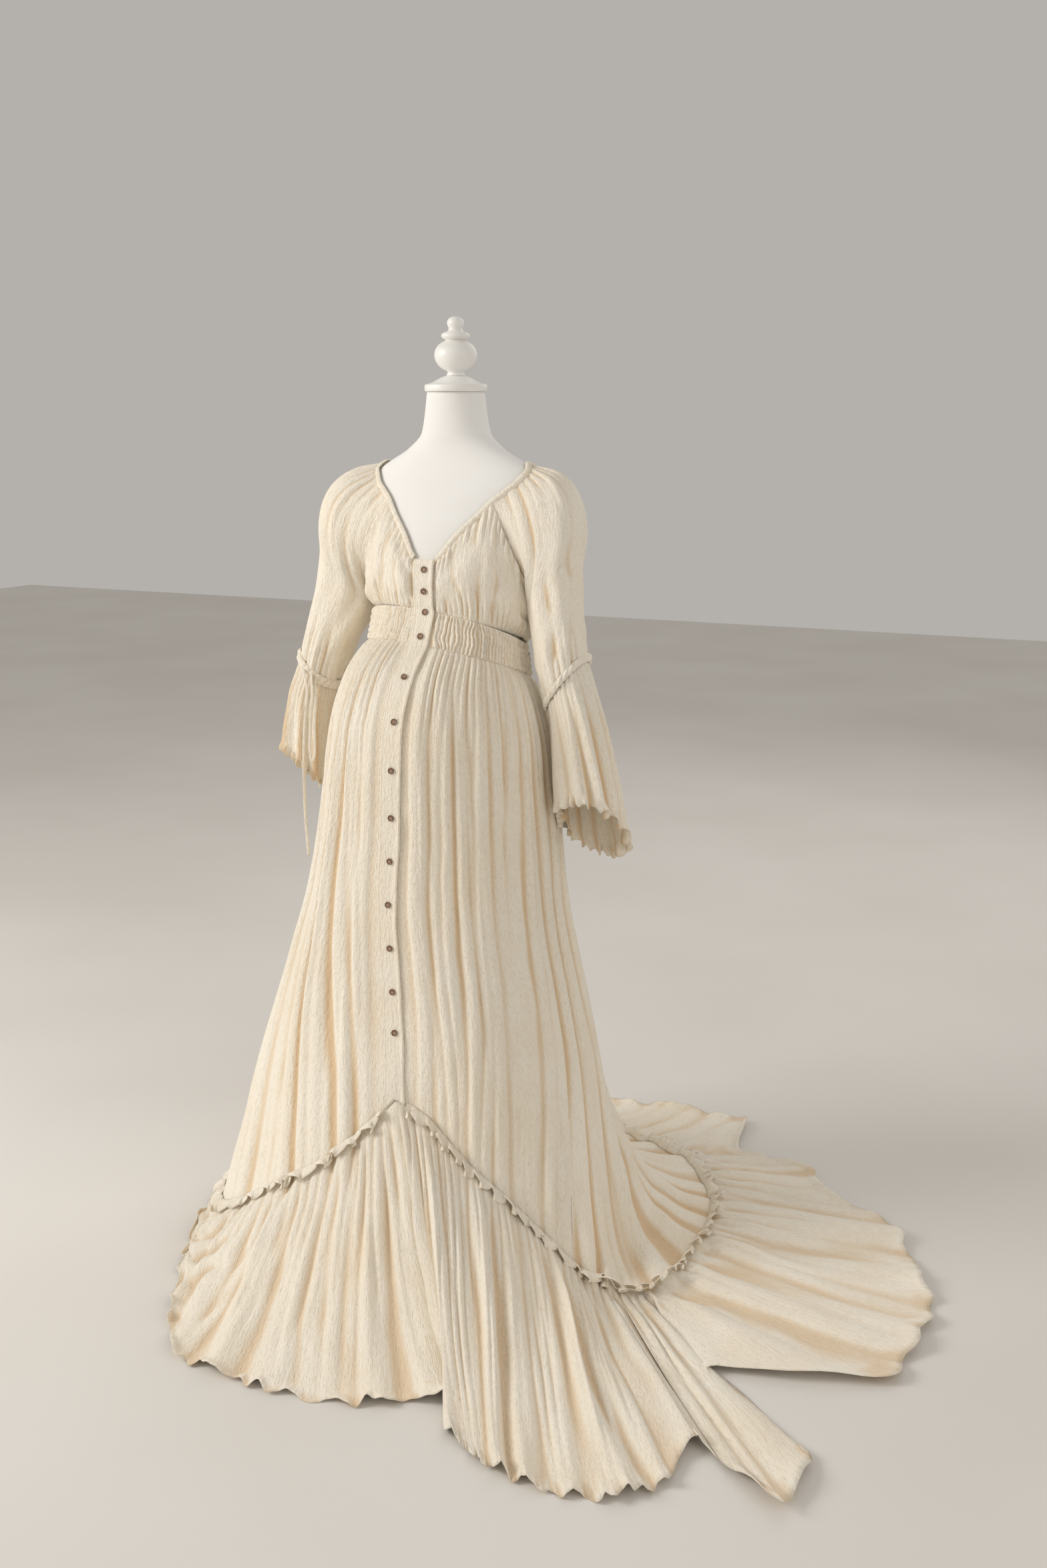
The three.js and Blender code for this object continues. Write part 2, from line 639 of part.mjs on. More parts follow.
// A point of a sleeve: above its shoulder share it fills the gap between the raglan seams, and below it is
// a tube; u runs round from the inner seam at -1 over the outer side, and v runs down
const shoulderShare = 0.42;
const seamTurn = Math.PI - 0.008;
function sleevePoint(sleeve, u, v) {
  const face = u < 0 ? "front" : "back";
  const ring = (at) => sleeveRing(sleeve, u * seamTurn, at);
  const ringEnd = (sign) => sleeveRing(sleeve, sign * seamTurn, 0);
  const corner = (sign) => sleeveEdge(sleeve, sign < 0 ? "front" : "back", 1).sub(ringEnd(sign));
  const pull = Math.abs(u) ** 6;
  const sign = Math.sign(u) || 1;
  if (v >= shoulderShare) {
    const t = (v - shoulderShare) / (1 - shoulderShare);
    return ring(t).addScaledVector(corner(sign), pull * (1 - smoothstep(t, 0, 0.3)));
  }
  const t = v / shoulderShare;
  const front = (s) => sleeveEdge(sleeve, "front", s);
  const back = (s) => sleeveEdge(sleeve, "back", s);
  const toBack = (u + 1) / 2;
  const neckAngle = mix(raglans[0].frontAngle, raglans[0].backAngle, toBack);
  const angle = sleeve.sign > 0 ? neckAngle : 360 - neckAngle;
  const neck = bodiceBase(angle, neckHeight(angle) - seamGap);
  const neckEnds = [-1, 1].map((end) => {
    const a = end < 0 ? raglans[0].frontAngle : raglans[0].backAngle;
    return bodiceBase(sleeve.sign > 0 ? a : 360 - a, neckHeight(a) - seamGap);
  });
  const ringed = ring(0).addScaledVector(corner(sign), pull);
  const point = neck.multiplyScalar(1 - t).addScaledVector(ringed, t);
  point.addScaledVector(front(t), 1 - toBack).addScaledVector(back(t), toBack);
  point.addScaledVector(neckEnds[0], -(1 - t) * (1 - toBack)).addScaledVector(neckEnds[1], -(1 - t) * toBack);
  point.addScaledVector(front(1), -t * (1 - toBack)).addScaledVector(back(1), -t * toBack);
  const crown = Math.max(0, Math.sin(Math.PI * t)) ** 1.3;
  const puff = shoulderPuff * crown * Math.max(0, 1 - u * u) ** 0.7;
  return point.add(vector(sleeve.sign * 0.6, 0, 0.8).multiplyScalar(puff));
}

function addSleeves() {
  for (const sleeve of sleeves) {
    const { sign, name } = sleeve;
    const base = (u, v) => sleevePoint(sleeve, sign * u, v);
    const foldAt = (u, v) => {
      const flat = smoothstep(1 - Math.abs(u), 0, 0.12);
      const depth = mix(sleeveFold.start, sleeveFold.full, smoothstep(v, 0, 0.4));
      return flat * depth * waveShape(((u + 1) / 2) * sleeveFolds);
    };
    const surface = (u, v) => {
      const normal = normalOf(base, clamp(u, -0.98, 0.98), inner(v, 0.006), 0.02, 0.005);
      return base(u, v).addScaledVector(normal, foldAt(u, v));
    };
    const columns = steps(-1, 1, sleeveFolds * 2);
    const rows = [...steps(0.0005, shoulderShare, raglanSteps), ...sleeveRows];
    const normalAt = (u, v) => {
      const share = Math.min(1, v / shoulderShare);
      if (Math.abs(u) < 0.99 || share > 0.7) return undefined;
      const { angle, z } = raglanSpot(sign * u < 0 ? "front" : "back", sign, share);
      return bodiceNormal(angle, z);
    };
    add("sleeve_" + name, clothWall(columns, rows, surface, { stepA: 0.01, stepB: 0.004, normalAt }));

    const ringSurface = (turn, at) => sleeveRing(sleeve, sign * turn, at);
    const casing = (turn, w) => casingPoint(sleeve, turn, w);
    const around = (count) => steps(-Math.PI, Math.PI, count).slice(0, -1);
    const gathered = { closed: true, stepB: 0.1, stepA: 0.02, thickness: elbowWall };
    add("elbow_casing_" + name, clothWall(around(24), [0, 1], casing, gathered));

    const bell = (turn, v) => {
      const at = mix(elbowSpan.bellFrom, 2, v);
      const depth = mix(bellFold.start, bellFold.full, smoothstep(v, 0, 0.9));
      const wave = depth * waveShape((turn / (2 * Math.PI)) * bellWaves);
      const normal = normalOf(ringSurface, turn, Math.min(at, 1.99), 0.03, 0.01);
      return ringSurface(turn, at).addScaledVector(normal, wave - 1);
    };
    const flared = { closed: true, stepA: 0.02 };
    add("sleeve_flounce_" + name, clothWall(around(bellWaves * 3), bellRows, bell, flared));
  }
}

// The gathered casing of an elbow seam
function casingPoint(sleeve, turn, w) {
  const ringSurface = (a, b) => sleeveRing(sleeve, sleeve.sign * a, b);
  const at = mix(elbowSpan.from, elbowSpan.to, w);
  const bulge = 2 + 0.8 * Math.cos(turn * 12);
  return ringSurface(turn, at).addScaledVector(normalOf(ringSurface, turn, at, 0.03, 0.004), bulge);
}

// The drawstring at the wearer's right elbow: a loop and one long end, each from the casing down
const tieEnd = table(["x", "y", "z"], [
  [-262, -108, 995],
  [-266, -113, 930],
  [-269, -114, 870],
  [-270, -113, 800],
  [-272, -108, 740],
  [-273, -100, 678],
]);
const tieLoop = table(["x", "y", "z"], [
  [-251, -108, 990],
  [-252, -115, 930],
  [-253, -117, 880],
  [-248, -118, 866],
  [-243, -117, 880],
  [-244, -114, 930],
  [-245, -105, 990],
]);

// Where a tie leaves the casing, square to it: a point just off the cloth and one further out
function tieExit(turn) {
  const sleeve = sleeves[1];
  const casing = (a, b) => casingPoint(sleeve, a, b);
  const point = casing(radians(turn), 0.5);
  const normal = normalOf((a, b) => casing(a, b), radians(turn), 0.5, 0.02, 0.05);
  return [tieGap, 3 * tieThickness].map((off) => point.clone().addScaledVector(normal, off));
}

function addTies() {
  const hanging = (rows) => rows.map((row) => vector(row.x, row.y, row.z));
  const routes = {
    tie_end: [...tieExit(83), ...hanging(tieEnd)],
    tie_loop: [...tieExit(100), ...hanging(tieLoop), ...tieExit(112).reverse()],
  };
  for (const [name, points] of Object.entries(routes)) {
    const path = new THREE.CatmullRomCurve3(points, false, "centripetal");
    const section = new THREE.Shape().absellipse(0, 0, tieThickness / 2, tieWidth / 2, 0, 2 * Math.PI);
    const count = Math.round(path.getLength() / (2.5 * tieWidth));
    const tube = { steps: count, curveSegments: 4, bevelEnabled: false, extrudePath: path };
    add(name, new THREE.ExtrudeGeometry(section, tube));
  }
}

// Rows of the front closing: the surfaces it lies on, one under the other
const frontRows = [
  ...bodiceRows.map((v) => ({ surface: frontBodice, v })),
  ...bandRows.map((v) => ({ surface: bandPoint, v })),
  ...skirtRows.map((v) => ({ surface: skirtPoint, v })),
];
function frontBodice(angle, v) {
  return bodiceBase((angle + 360) % 360, mix(neckHeight(0), bandTop(angle) + 2 * seamGap, v));
}

// A point of the placket, x from its middle and off the cloth under it
function placketPoint(x, row, off) {
  const { surface, v } = frontRows[row];
  const wrapped = (angle, at) => surface(surface === skirtPoint && angle < 0 ? angle + 360 : angle, at);
  const degree = wrapped(1, v).distanceTo(wrapped(0, v));
  const angle = x / degree;
  const beside = angle < 0 ? Math.min(angle, -0.6) : Math.max(angle, 0.6);
  const normal = normalOf(wrapped, beside, inner(v, 0.006), 0.5, 0.005);
  return wrapped(angle, v).addScaledVector(normal, off);
}

function addPlacket() {
  const columns = steps(-placketWidth / 2, placketWidth / 2, 4);
  const faces = [];
  const count = frontRows.length;
  for (const off of [layGap + placketWall, layGap]) {
    for (const x of columns) {
      for (let row = 0; row < count; row += 1) faces.push(placketPoint(x, row, off));
    }
  }
  const pointAt = (i, row, side) => faces[(side * columns.length + i) * count + row];
  add("placket", gridSolid(columns.length, count, pointAt));
}

// Profiles of the turned pieces, from the axis below to the axis above
const capProfile = table(["radius", "height"], [
  [0, 0],
  [capRadius, 0],
  [capRadius + 1, 3],
  [capRadius + 1, 10],
  [capRadius - 3, 13],
  [40, 17],
  [27, 24],
  [20, capHeight],
  [0, capHeight],
]);
const finialProfile = table(["radius", "height"], [
  [0, 0],
  [17, 0],
  [14, 7],
  [24, 12],
  [35, 24],
  [38, 36],
  [35, 48],
  [26, 57],
  [16, 62],
  [25, 67],
  [25, 72],
  [14, 77],
  [12, 83],
  [15, 91],
  [12, 99],
  [0, 103],
]);
const poleLength = torsoBottom - footThickness - 2 * formGap;
const poleProfile = table(["radius", "height"], [
  [0, 0],
  [poleRadius, 0],
  [poleRadius, poleLength],
  [0, poleLength],
]);
const buttonProfile = table(["radius", "height"], [
  [0, 0],
  [buttonRadius, 0],
  [buttonRadius, buttonThickness],
  [buttonRadius - 1.3, buttonThickness],
  [0, buttonThickness - 0.7],
]);

function turned(profile, sides) {
  const points = profile.map((row) => new THREE.Vector2(row.radius, row.height));
  return new THREE.LatheGeometry(points, sides).rotateX(Math.PI / 2);
}

// Heights of the rings of the torso's solid
const torsoRows = [
  torsoBottom, 720, 755, 800, 850, 905, 955, 1005, 1050, 1095, 1145, 1195,
  1240, 1285, 1325, 1355, 1376, 1393, 1407, 1420, 1436, 1458, neckTop,
];

function addForm() {
  const around = steps(0, 360, 32).slice(0, -1);
  const torso = stacked(torsoRows.map((z) => around.map((angle) => formPoint(angle, z))));
  add("form_torso", torso, whiteJersey);
  const cap = turned(capProfile, 16).translate(0, 0, neckTop + formGap);
  add("form_neck_cap", cap, whitePaint);
  const finial = turned(finialProfile, 16).translate(0, 0, neckTop + capHeight + 2 * formGap);
  add("form_finial", finial, whitePaint);
  const pole = turned(poleProfile, 16).translate(0, 0, footThickness + formGap);
  add("form_pole", pole, whitePaint);
  const rim = steps(0, 2 * Math.PI, footSides).slice(0, -1);
  const outline = rim.map((turn) => new THREE.Vector2(footRadius * Math.cos(turn), footRadius * Math.sin(turn)));
  const plate = { depth: footThickness, bevelEnabled: false };
  const foot = new THREE.ExtrudeGeometry(new THREE.Shape(outline), plate);
  add("form_foot", foot, whitePaint);
}

function addButtons() {
  const spine = frontRows.map((_, row) => placketPoint(buttonShift, row, layGap + placketWall));
  buttonHeights.forEach((height, n) => {
    let row = 0;
    while (row < spine.length - 2 && spine[row + 1].z > height) row += 1;
    const t = (spine[row].z - height) / (spine[row].z - spine[row + 1].z);
    const middle = spine[row].clone().lerp(spine[row + 1], t);
    const down = spine[row + 1].clone().sub(spine[row]).normalize();
    const outward = down.clone().cross(placketPoint(12, row, 0).sub(placketPoint(-8, row, 0))).normalize();
    const disc = turned(buttonProfile, 10);
    disc.applyQuaternion(new THREE.Quaternion().setFromUnitVectors(vector(0, 0, 1), outward));
    middle.addScaledVector(outward, buttonGap);
    disc.translate(middle.x, middle.y, middle.z);
    add("button_" + (n + 1), disc, coconutShell);
  });
}

addForm();
addBodice();
addSleeves();
addNeckCasing();
addBand();
addSkirt();
addPlacket();
addTies();
addButtons();

export default dressOnForm;
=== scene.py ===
import functools
import math

import bmesh
import bpy
import numpy as np
from bpy.props import FloatProperty, FloatVectorProperty, PointerProperty
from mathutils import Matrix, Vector


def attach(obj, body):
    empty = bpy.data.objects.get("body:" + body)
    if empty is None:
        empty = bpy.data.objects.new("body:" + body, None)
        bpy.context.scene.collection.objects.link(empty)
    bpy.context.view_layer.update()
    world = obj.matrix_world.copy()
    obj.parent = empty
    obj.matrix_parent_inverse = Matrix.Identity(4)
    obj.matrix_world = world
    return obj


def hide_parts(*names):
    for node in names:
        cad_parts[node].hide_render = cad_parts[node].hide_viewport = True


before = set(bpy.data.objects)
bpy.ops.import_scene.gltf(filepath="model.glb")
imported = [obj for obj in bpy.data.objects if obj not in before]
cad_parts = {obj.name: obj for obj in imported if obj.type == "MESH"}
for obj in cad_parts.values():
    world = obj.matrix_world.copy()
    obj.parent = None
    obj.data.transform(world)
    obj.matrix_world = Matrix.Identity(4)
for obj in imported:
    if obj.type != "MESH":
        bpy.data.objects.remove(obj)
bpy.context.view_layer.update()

bl_info = {
    "name": "Gauze dress on a dress form",
    "version": (1, 0, 0),
    "blender": (4, 5, 0),
    "location": "3D View > Sidebar > Dress",
    "description": "A button-front maxi dress of crinkled gauze with a train, on a limbless dress form",
    "category": "Add Mesh",
}

# Sizes are in millimetres and angles in degrees from the front towards the wearer's left.
MM = 0.001

# The dress form
TORSO_BOTTOM = 704
NECK_TOP = 1541
CAP_RADIUS = 55
CAP_HEIGHT = 27
POLE_RADIUS = 17
FOOT_RADIUS = 165
FOOT_THICKNESS = 14
FORM_GAP = 0.3

# The cloth
SOLID_WALL = 2
PLACKET_WIDTH = 40
PLACKET_ANGLE = 7.6
PLACKET_EDGE = 5.2
SIDE_SEAM_LEFT = 92
SIDE_SEAM_RIGHT = 268
WAIST_HEIGHT = 1067
WAIST_TILT = 42
WAIST_TURN = 25
BAND_HEIGHT = 57
SEAM_GAP = 0.4
SKIRT_PLEATS = 36
GATHERS_PER_PLEAT = 1.5
SLEEVE_FOLDS = 7
BELL_WAVES = 10
FRONT_RAGLAN = 0.5
BACK_RAGLAN = 0.3
SHOULDER_SHARE = 0.42
SEAM_TURN = math.pi - 0.008
FRONT_NECK = 0.5
BACK_NECK = 0.4
NECK_SINK = 3
BUTTON_SHIFT = 2
BAND_WAVES = 30
PUCKER_ROWS = 5
UNDERLAP_WIDTH = 46
UNDERLAP_DEPTH = 3
FRILL_SEAT = 2.6
FRILL_WIDTH = 19.0
FRILL_CURL = 9.5
FRILL_PITCH = 31
ELBOW_GATHERS = 26
TIE_WIDTH = 6.0
TIE_THICKNESS = 2.2

FORM_RINGS = (("z", "half_width", "middle", "front", "back"), [
    (704, 148, -20, -158, 104),
    (760, 170, -25, -212, 116),
    (840, 181, -30, -244, 114),
    (920, 180, -30, -248, 100),
    (1000, 154, -25, -218, 74),
    (1060, 138, -20, -168, 66),
    (1110, 132, -15, -128, 64),
    (1170, 138, -10, -112, 72),
    (1230, 148, 0, -120, 82),
    (1290, 160, 0, -104, 86),
    (1340, 174, 0, -80, 84),
    (1375, 178, 0, -62, 76),
    (1400, 162, 0, -50, 64),
    (1418, 134, 0, -46, 55),
    (1440, 96, 0, -45, 49),
    (1470, 65, 0, -49, 49),
    (1541, 52, 0, -50, 50),
])

SKIRT_RINGS = (("level", "shift", "turn", "half_width", "middle", "front", "back"), [
    (1, 0, 0, 153, -37, -149, 86),
    (0.952, 0, 1, 180, -45, -211, 96),
    (0.888, 0, 2, 198, -50, -253, 110),
    (0.815, -2, 2.4, 208, -55, -264, 118),
    (0.706, -6, 2.4, 224, -62, -264, 126),
    (0.597, -12, 2.4, 243, -70, -268, 138),
])

# The fall of the cloth below the hips, a row for each line of grain round the body
FALLS = (("angle", "knee_x", "knee_y", "knee_z", "seam_x", "seam_y", "seam_z", "hem_x", "hem_y", "foot"), [
    (0, 18, -288, 450, 45, -334, 324, 318, -600, 0.7),
    (12, 78, -282, 445, 98, -326, 300, 384, -752, 0.6),
    (30, 150, -262, 430, 187, -331, 228, 474, -806, 0.5),
    (46, 208, -226, 418, 257, -317, 168, 560, -818, 0.45),
    (62, 248, -170, 398, 318, -300, 108, 650, -800, 0.4),
    (74.6, 268, -118, 376, 366, -292, 64, 700, -752, 0.3),
    (81, 276, -90, 362, 396, -288, 44, 716, -716, 0.25),
    (87.3, 281, -62, 344, 424, -284, 30, 714, -612, 0.2),
    (93.7, 284, -34, 322, 450, -277, 22, 796, -664, 0.2),
    (96.9, 284, -20, 312, 463, -271, 19, 882, -718, 0.2),
    (100.1, 283, -6, 302, 475, -262, 17, 892, -596, 0.2),
    (103.3, 281, 8, 294, 486, -249, 15, 668, -432, 0.2),
    (106.5, 279, 22, 287, 496, -230, 14, 800, -384, 0.2),
    (109.7, 276, 34, 281, 504, -204, 13, 940, -318, 0.2),
    (121, 264, 64, 264, 506, -51, 12, 950, -110, 0.2),
    (134, 240, 102, 248, 490, 80, 12, 872, 84, 0.2),
    (142.6, 216, 128, 240, 456, 170, 12, 800, 214, 0.2),
    (149, 196, 146, 237, 418, 232, 12, 660, 286, 0.2),
    (155, 174, 160, 235, 380, 276, 12, 596, 372, 0.2),
    (161, 152, 172, 235, 334, 310, 12, 450, 390, 0.2),
    (167, 126, 182, 236, 284, 332, 12, 392, 560, 0.2),
    (175, 88, 194, 239, 206, 350, 12, 262, 576, 0.2),
    (189, 0, 202, 246, 60, 360, 12, 60, 550, 0.2),
    (206, -106, 188, 256, -104, 336, 12, -142, 506, 0.2),
    (222, -192, 142, 276, -236, 256, 14, -320, 386, 0.2),
    (237, -252, 80, 300, -322, 138, 20, -416, 204, 0.25),
    (252, -296, -4, 326, -368, -14, 34, -440, 10, 0.3),
    (268, -316, -90, 350, -372, -172, 48, -430, -186, 0.35),
    (284, -308, -168, 380, -332, -322, 66, -360, -392, 0.45),
    (300, -268, -226, 410, -256, -408, 96, -258, -588, 0.5),
    (316, -202, -264, 430, -150, -420, 160, -112, -758, 0.5),
    (332, -124, -286, 440, -60, -404, 212, 50, -772, 0.55),
    (346, -52, -292, 446, -2, -374, 268, 194, -750, 0.6),
    (360, 18, -288, 450, 45, -334, 324, 332, -668, 0.6),
])

NECKLINE = (("angle", "z"), [
    (0, 1250),
    (8, 1252),
    (20, 1294),
    (28, 1320),
    (38, 1354),
    (60, 1392),
    (90, 1412),
    (130, 1396),
    (180, 1380),
])

RAGLANS = (("share", "front_angle", "front_z", "back_angle", "back_z"), [
    (0, 36, 1348, 144, 1389),
    (0.3, 50, 1300, 130, 1330),
    (0.6, 66, 1240, 114, 1256),
    (0.85, 80, 1190, 101, 1194),
    (1, 92, 1162, 92, 1162),
])
NECK_FRONT = RAGLANS[1][0][1]
NECK_BACK = RAGLANS[1][0][3]

SLEEVE_NAMES = ("at", "x", "y", "z", "half_width", "half_depth", "lean", "dip")
LEFT_SLEEVE = (SLEEVE_NAMES, [
    (0, 205, -14, 1212, 41, 60, 50, 0),
    (1, 238, -38, 1042, 33, 44, 47, 0),
    (1.4, 262, -36, 950, 42, 60, 28, 22),
    (2, 290, -30, 770, 54, 80, 4, 64),
])
RIGHT_SLEEVE = (SLEEVE_NAMES, [
    (0, 212, -16, 1212, 52, 62, 50, 0),
    (1, 270, -42, 1036, 33, 42, 29, 0),
    (1.4, 286, -44, 952, 42, 48, 34, 12),
    (2, 296, -46, 830, 44, 50, 42, 26),
])
ELBOW_FROM = 1.002
ELBOW_TO = 1.048
BELL_FROM = 1.053

BUTTON_HEIGHTS = (1234, 1197, 1157, 1117, 1056, 980, 898, 817, 738, 657, 580, 504, 434)

# The routes of the drawstring's long end and its loop, from the elbow casing down
TIE_END = [(-262, -108, 995), (-266, -113, 930), (-269, -114, 870), (-270, -113, 800), (-272, -108, 740),
           (-273, -100, 678)]
TIE_LOOP = [(-251, -108, 990), (-252, -115, 930), (-253, -117, 880), (-248, -118, 866), (-243, -117, 880),
            (-244, -114, 930), (-245, -105, 990)]

PANELS = {
    "front_left": (0.12, SIDE_SEAM_LEFT - 0.12),
    "back": (SIDE_SEAM_LEFT + 0.12, SIDE_SEAM_RIGHT - 0.12),
    "front_right": (SIDE_SEAM_RIGHT + 0.12, 359.88),
}


# Numbers and shapes

def mix(a, b, t):
    return a + (b - a) * t


def smooth(x, low, high):
    """0 below low, 1 above high and an even curve between."""
    t = np.clip((x - low) / (high - low), 0, 1)
    return t * t * (3 - 2 * t)


def uneven(n):
    """A steady uneven number from 0 to 1 for each whole number."""
    s = np.sin(np.asarray(n, float) * 12.9898) * 43758.5453
    return s - np.floor(s)


def drift(x, y, seed=0):
    """A smooth uneven surface from -1 to 1, with a wave about every two units."""
    def corner(i, j):
        s = np.sin(i * 127.1 + j * 311.7 + seed * 74.7) * 43758.5453
        return 2 * (s - np.floor(s)) - 1
    x, y = np.broadcast_arrays(np.asarray(x, float), np.asarray(y, float))
    i, j = np.floor(x), np.floor(y)
    u, v = smooth(x - i, 0, 1), smooth(y - j, 0, 1)
    near = mix(corner(i, j), corner(i + 1, j), u)
    far = mix(corner(i, j + 1), corner(i + 1, j + 1), u)
    return mix(near, far, v)


def fold_shape(phase):
    """A broad soft fold between two narrow valleys, one for each whole step."""
    return 1 - np.cos(math.pi * phase) ** 4


def wave_shape(phase):
    return np.sin(math.pi * phase) ** 2


def gathers(phase, down, reach, seed):
    """Ridges that start at a gathered edge and die out one by one on the way down."""
    own = uneven(np.floor(phase) + seed)
    fade = 1 - smooth(down, reach * (0.1 + 0.4 * own), reach * (0.4 + 0.9 * own))
    return (0.45 + 0.55 * uneven(np.floor(phase) + seed + 7)) * fade * fold_shape(phase)


def curve_through(table):
    """A smooth curve through each column of a table, which never overshoots its rows."""
    names, rows = table
    data = np.array(rows, float)
    knots, values = data[:, 0], data[:, 1:]
    rise = np.diff(values, axis=0) / np.diff(knots)[:, None]
    slopes = np.zeros_like(values)
    slopes[0], slopes[-1] = rise[0], rise[-1]
    product = rise[:-1] * rise[1:]
    total = rise[:-1] + rise[1:]
    slopes[1:-1] = np.where(product > 0, 2 * product / np.where(product > 0, total, 1), 0)

    def at(x):
        x = np.asarray(x, float)
        i = np.clip(np.searchsorted(knots, x, side="right") - 1, 0, len(knots) - 2)
        span = (knots[i + 1] - knots[i])[..., None]
        t = np.clip((x[..., None] - knots[i][..., None]) / span, 0, 1)
        row = (values[i] * (1 + 2 * t) * (1 - t) ** 2 + values[i + 1] * t * t * (3 - 2 * t)
               + slopes[i] * span * t * (1 - t) ** 2 - slopes[i + 1] * span * t * t * (1 - t))
        return {name: row[..., k] for k, name in enumerate(names[1:])}
    return at


form_at = curve_through(FORM_RINGS)
fall_at = curve_through(FALLS)
neckline_at = curve_through(NECKLINE)
raglan_at = curve_through(RAGLANS)


def points_of(x, y, z):
    return np.stack(np.broadcast_arrays(x, y, z), axis=-1).astype(float)


def unit(v):
    return v / np.maximum(np.linalg.norm(v, axis=-1, keepdims=True), 1e-9)


def normal_of(surface, a, b, step_a, step_b):
    across = surface(a + step_a, b) - surface(a - step_a, b)
    down = surface(a, b + step_b) - surface(a, b - step_b)
    return unit(np.cross(down, across))


def grid_normals(points, closed=False):
    """Outward normals of a grid of points in columns round the body and rows down it."""
    if closed:
        across = np.roll(points, -1, axis=0) - np.roll(points, 1, axis=0)
    else:
        across = np.gradient(points, axis=0)
    return unit(np.cross(np.gradient(points, axis=1), across))


# The surfaces of the form and the dress

def ring_point(ring, angle, z):
    turn = np.radians(angle + ring.get("turn", 0))
    depth = np.where(np.cos(turn) > 0, ring["middle"] - ring["front"], ring["back"] - ring["middle"])
    x = ring.get("shift", 0) + ring["half_width"] * np.sin(turn)
    return points_of(x, ring["middle"] - depth * np.cos(turn), z)


def form_point(angle, z):
    return ring_point(form_at(z), angle, z)


def form_normal(angle, z):
    return normal_of(lambda a, drop: form_point(a, -drop), angle, -np.asarray(z, float), 0.5, 1)


def neck_height(angle):
    return neckline_at(np.where(angle > 180, 360 - angle, np.abs(angle)))["z"]


def band_bottom(angle):
    return WAIST_HEIGHT + WAIST_TILT * np.cos(np.radians(angle + WAIST_TURN))


def band_top(angle):
    return band_bottom(angle) + BAND_HEIGHT


def stand_off(angle, z):
    neck = neck_height(angle)
    share = np.clip((neck - z) / (neck - band_top(angle)), 0, 1)
    side = np.sin(np.radians(angle)) ** 2
    return mix(5.6, 11, share) + mix(5, 15, side) * np.sin(math.pi * share ** 2)


def bodice_normal(angle, z):
    normal = form_normal(angle, z)
    normal[..., 2] *= smooth(z - band_top(angle), 0, 110)
    return unit(normal)


def bodice_base(angle, z):
    angle, z = np.broadcast_arrays(np.asarray(angle, float), np.asarray(z, float))
    return form_point(angle, z) + bodice_normal(angle, z) * stand_off(angle, z)[..., None]


def raglan_spot(face, sign, share):
    row = raglan_at(share)
    angle = row[face + "_angle"]
    return (angle if sign > 0 else 360 - angle), row[face + "_z"]


def bodice_edge(panel, share):
    """The upper edge of a bodice panel: the neckline and the raglan seams beside it."""
    if panel == "back":
        left = raglan_spot("back", 1, 1 - share / BACK_RAGLAN)
        right = raglan_spot("back", -1, (share + BACK_RAGLAN - 1) / BACK_RAGLAN)
        angle = mix(NECK_BACK, 360 - NECK_BACK, (share - BACK_RAGLAN) / (1 - 2 * BACK_RAGLAN))
        pick = [share < BACK_RAGLAN, share > 1 - BACK_RAGLAN]
        return (np.select(pick, [left[0], right[0]], angle),
                np.select(pick, [left[1], right[1]], neck_height(angle)))
    sign = 1 if panel == "front_left" else -1
    out = share if sign > 0 else 1 - share
    seam = raglan_spot("front", sign, (out + FRONT_RAGLAN - 1) / FRONT_RAGLAN)
    angle = mix(0.12, NECK_FRONT, np.clip(out / (1 - FRONT_RAGLAN), 0, 1))
    turned = angle if sign > 0 else 360 - angle
    beyond = out > 1 - FRONT_RAGLAN
    return np.where(beyond, seam[0], turned), np.where(beyond, seam[1], neck_height(turned))


def grain_route(route, shares):
    """Points at equal shares of the length along smooth curves through a stack of route points."""
    start, end = 2 * route[0] - route[1], 2 * route[-1] - route[-2]
    line = [start, *route, end]
    samples = [route[:1]]
    t = np.linspace(0, 1, 25)[1:, None, None]
    for p0, p1, p2, p3 in zip(line, line[1:], line[2:], line[3:]):
        d0, d1, d2 = (np.sqrt(np.linalg.norm(b - a, axis=-1, keepdims=True))
                      for a, b in ((p0, p1), (p1, p2), (p2, p3)))
        leave = d1 * ((p1 - p0) / d0 - (p2 - p0) / (d0 + d1) + (p2 - p1) / d1)
        reach = d1 * ((p2 - p1) / d1 - (p3 - p1) / (d1 + d2) + (p3 - p2) / d2)
        c2 = -3 * p1 + 3 * p2 - 2 * leave - reach
        c3 = 2 * p1 - 2 * p2 + leave + reach
        samples.append(p1 + leave * t + c2 * t * t + c3 * t ** 3)
    fine = np.concatenate(samples)
    lengths = np.linalg.norm(np.diff(fine, axis=0), axis=-1)
    along = np.vstack([np.zeros(fine.shape[1]), np.cumsum(lengths, axis=0)])
    along /= along[-1]
    out = np.empty((fine.shape[1], len(shares), 3))
    for n in range(fine.shape[1]):
        for k in range(3):
            out[n, :, k] = np.interp(shares, along[:, n], fine[:, n, k])
    return out


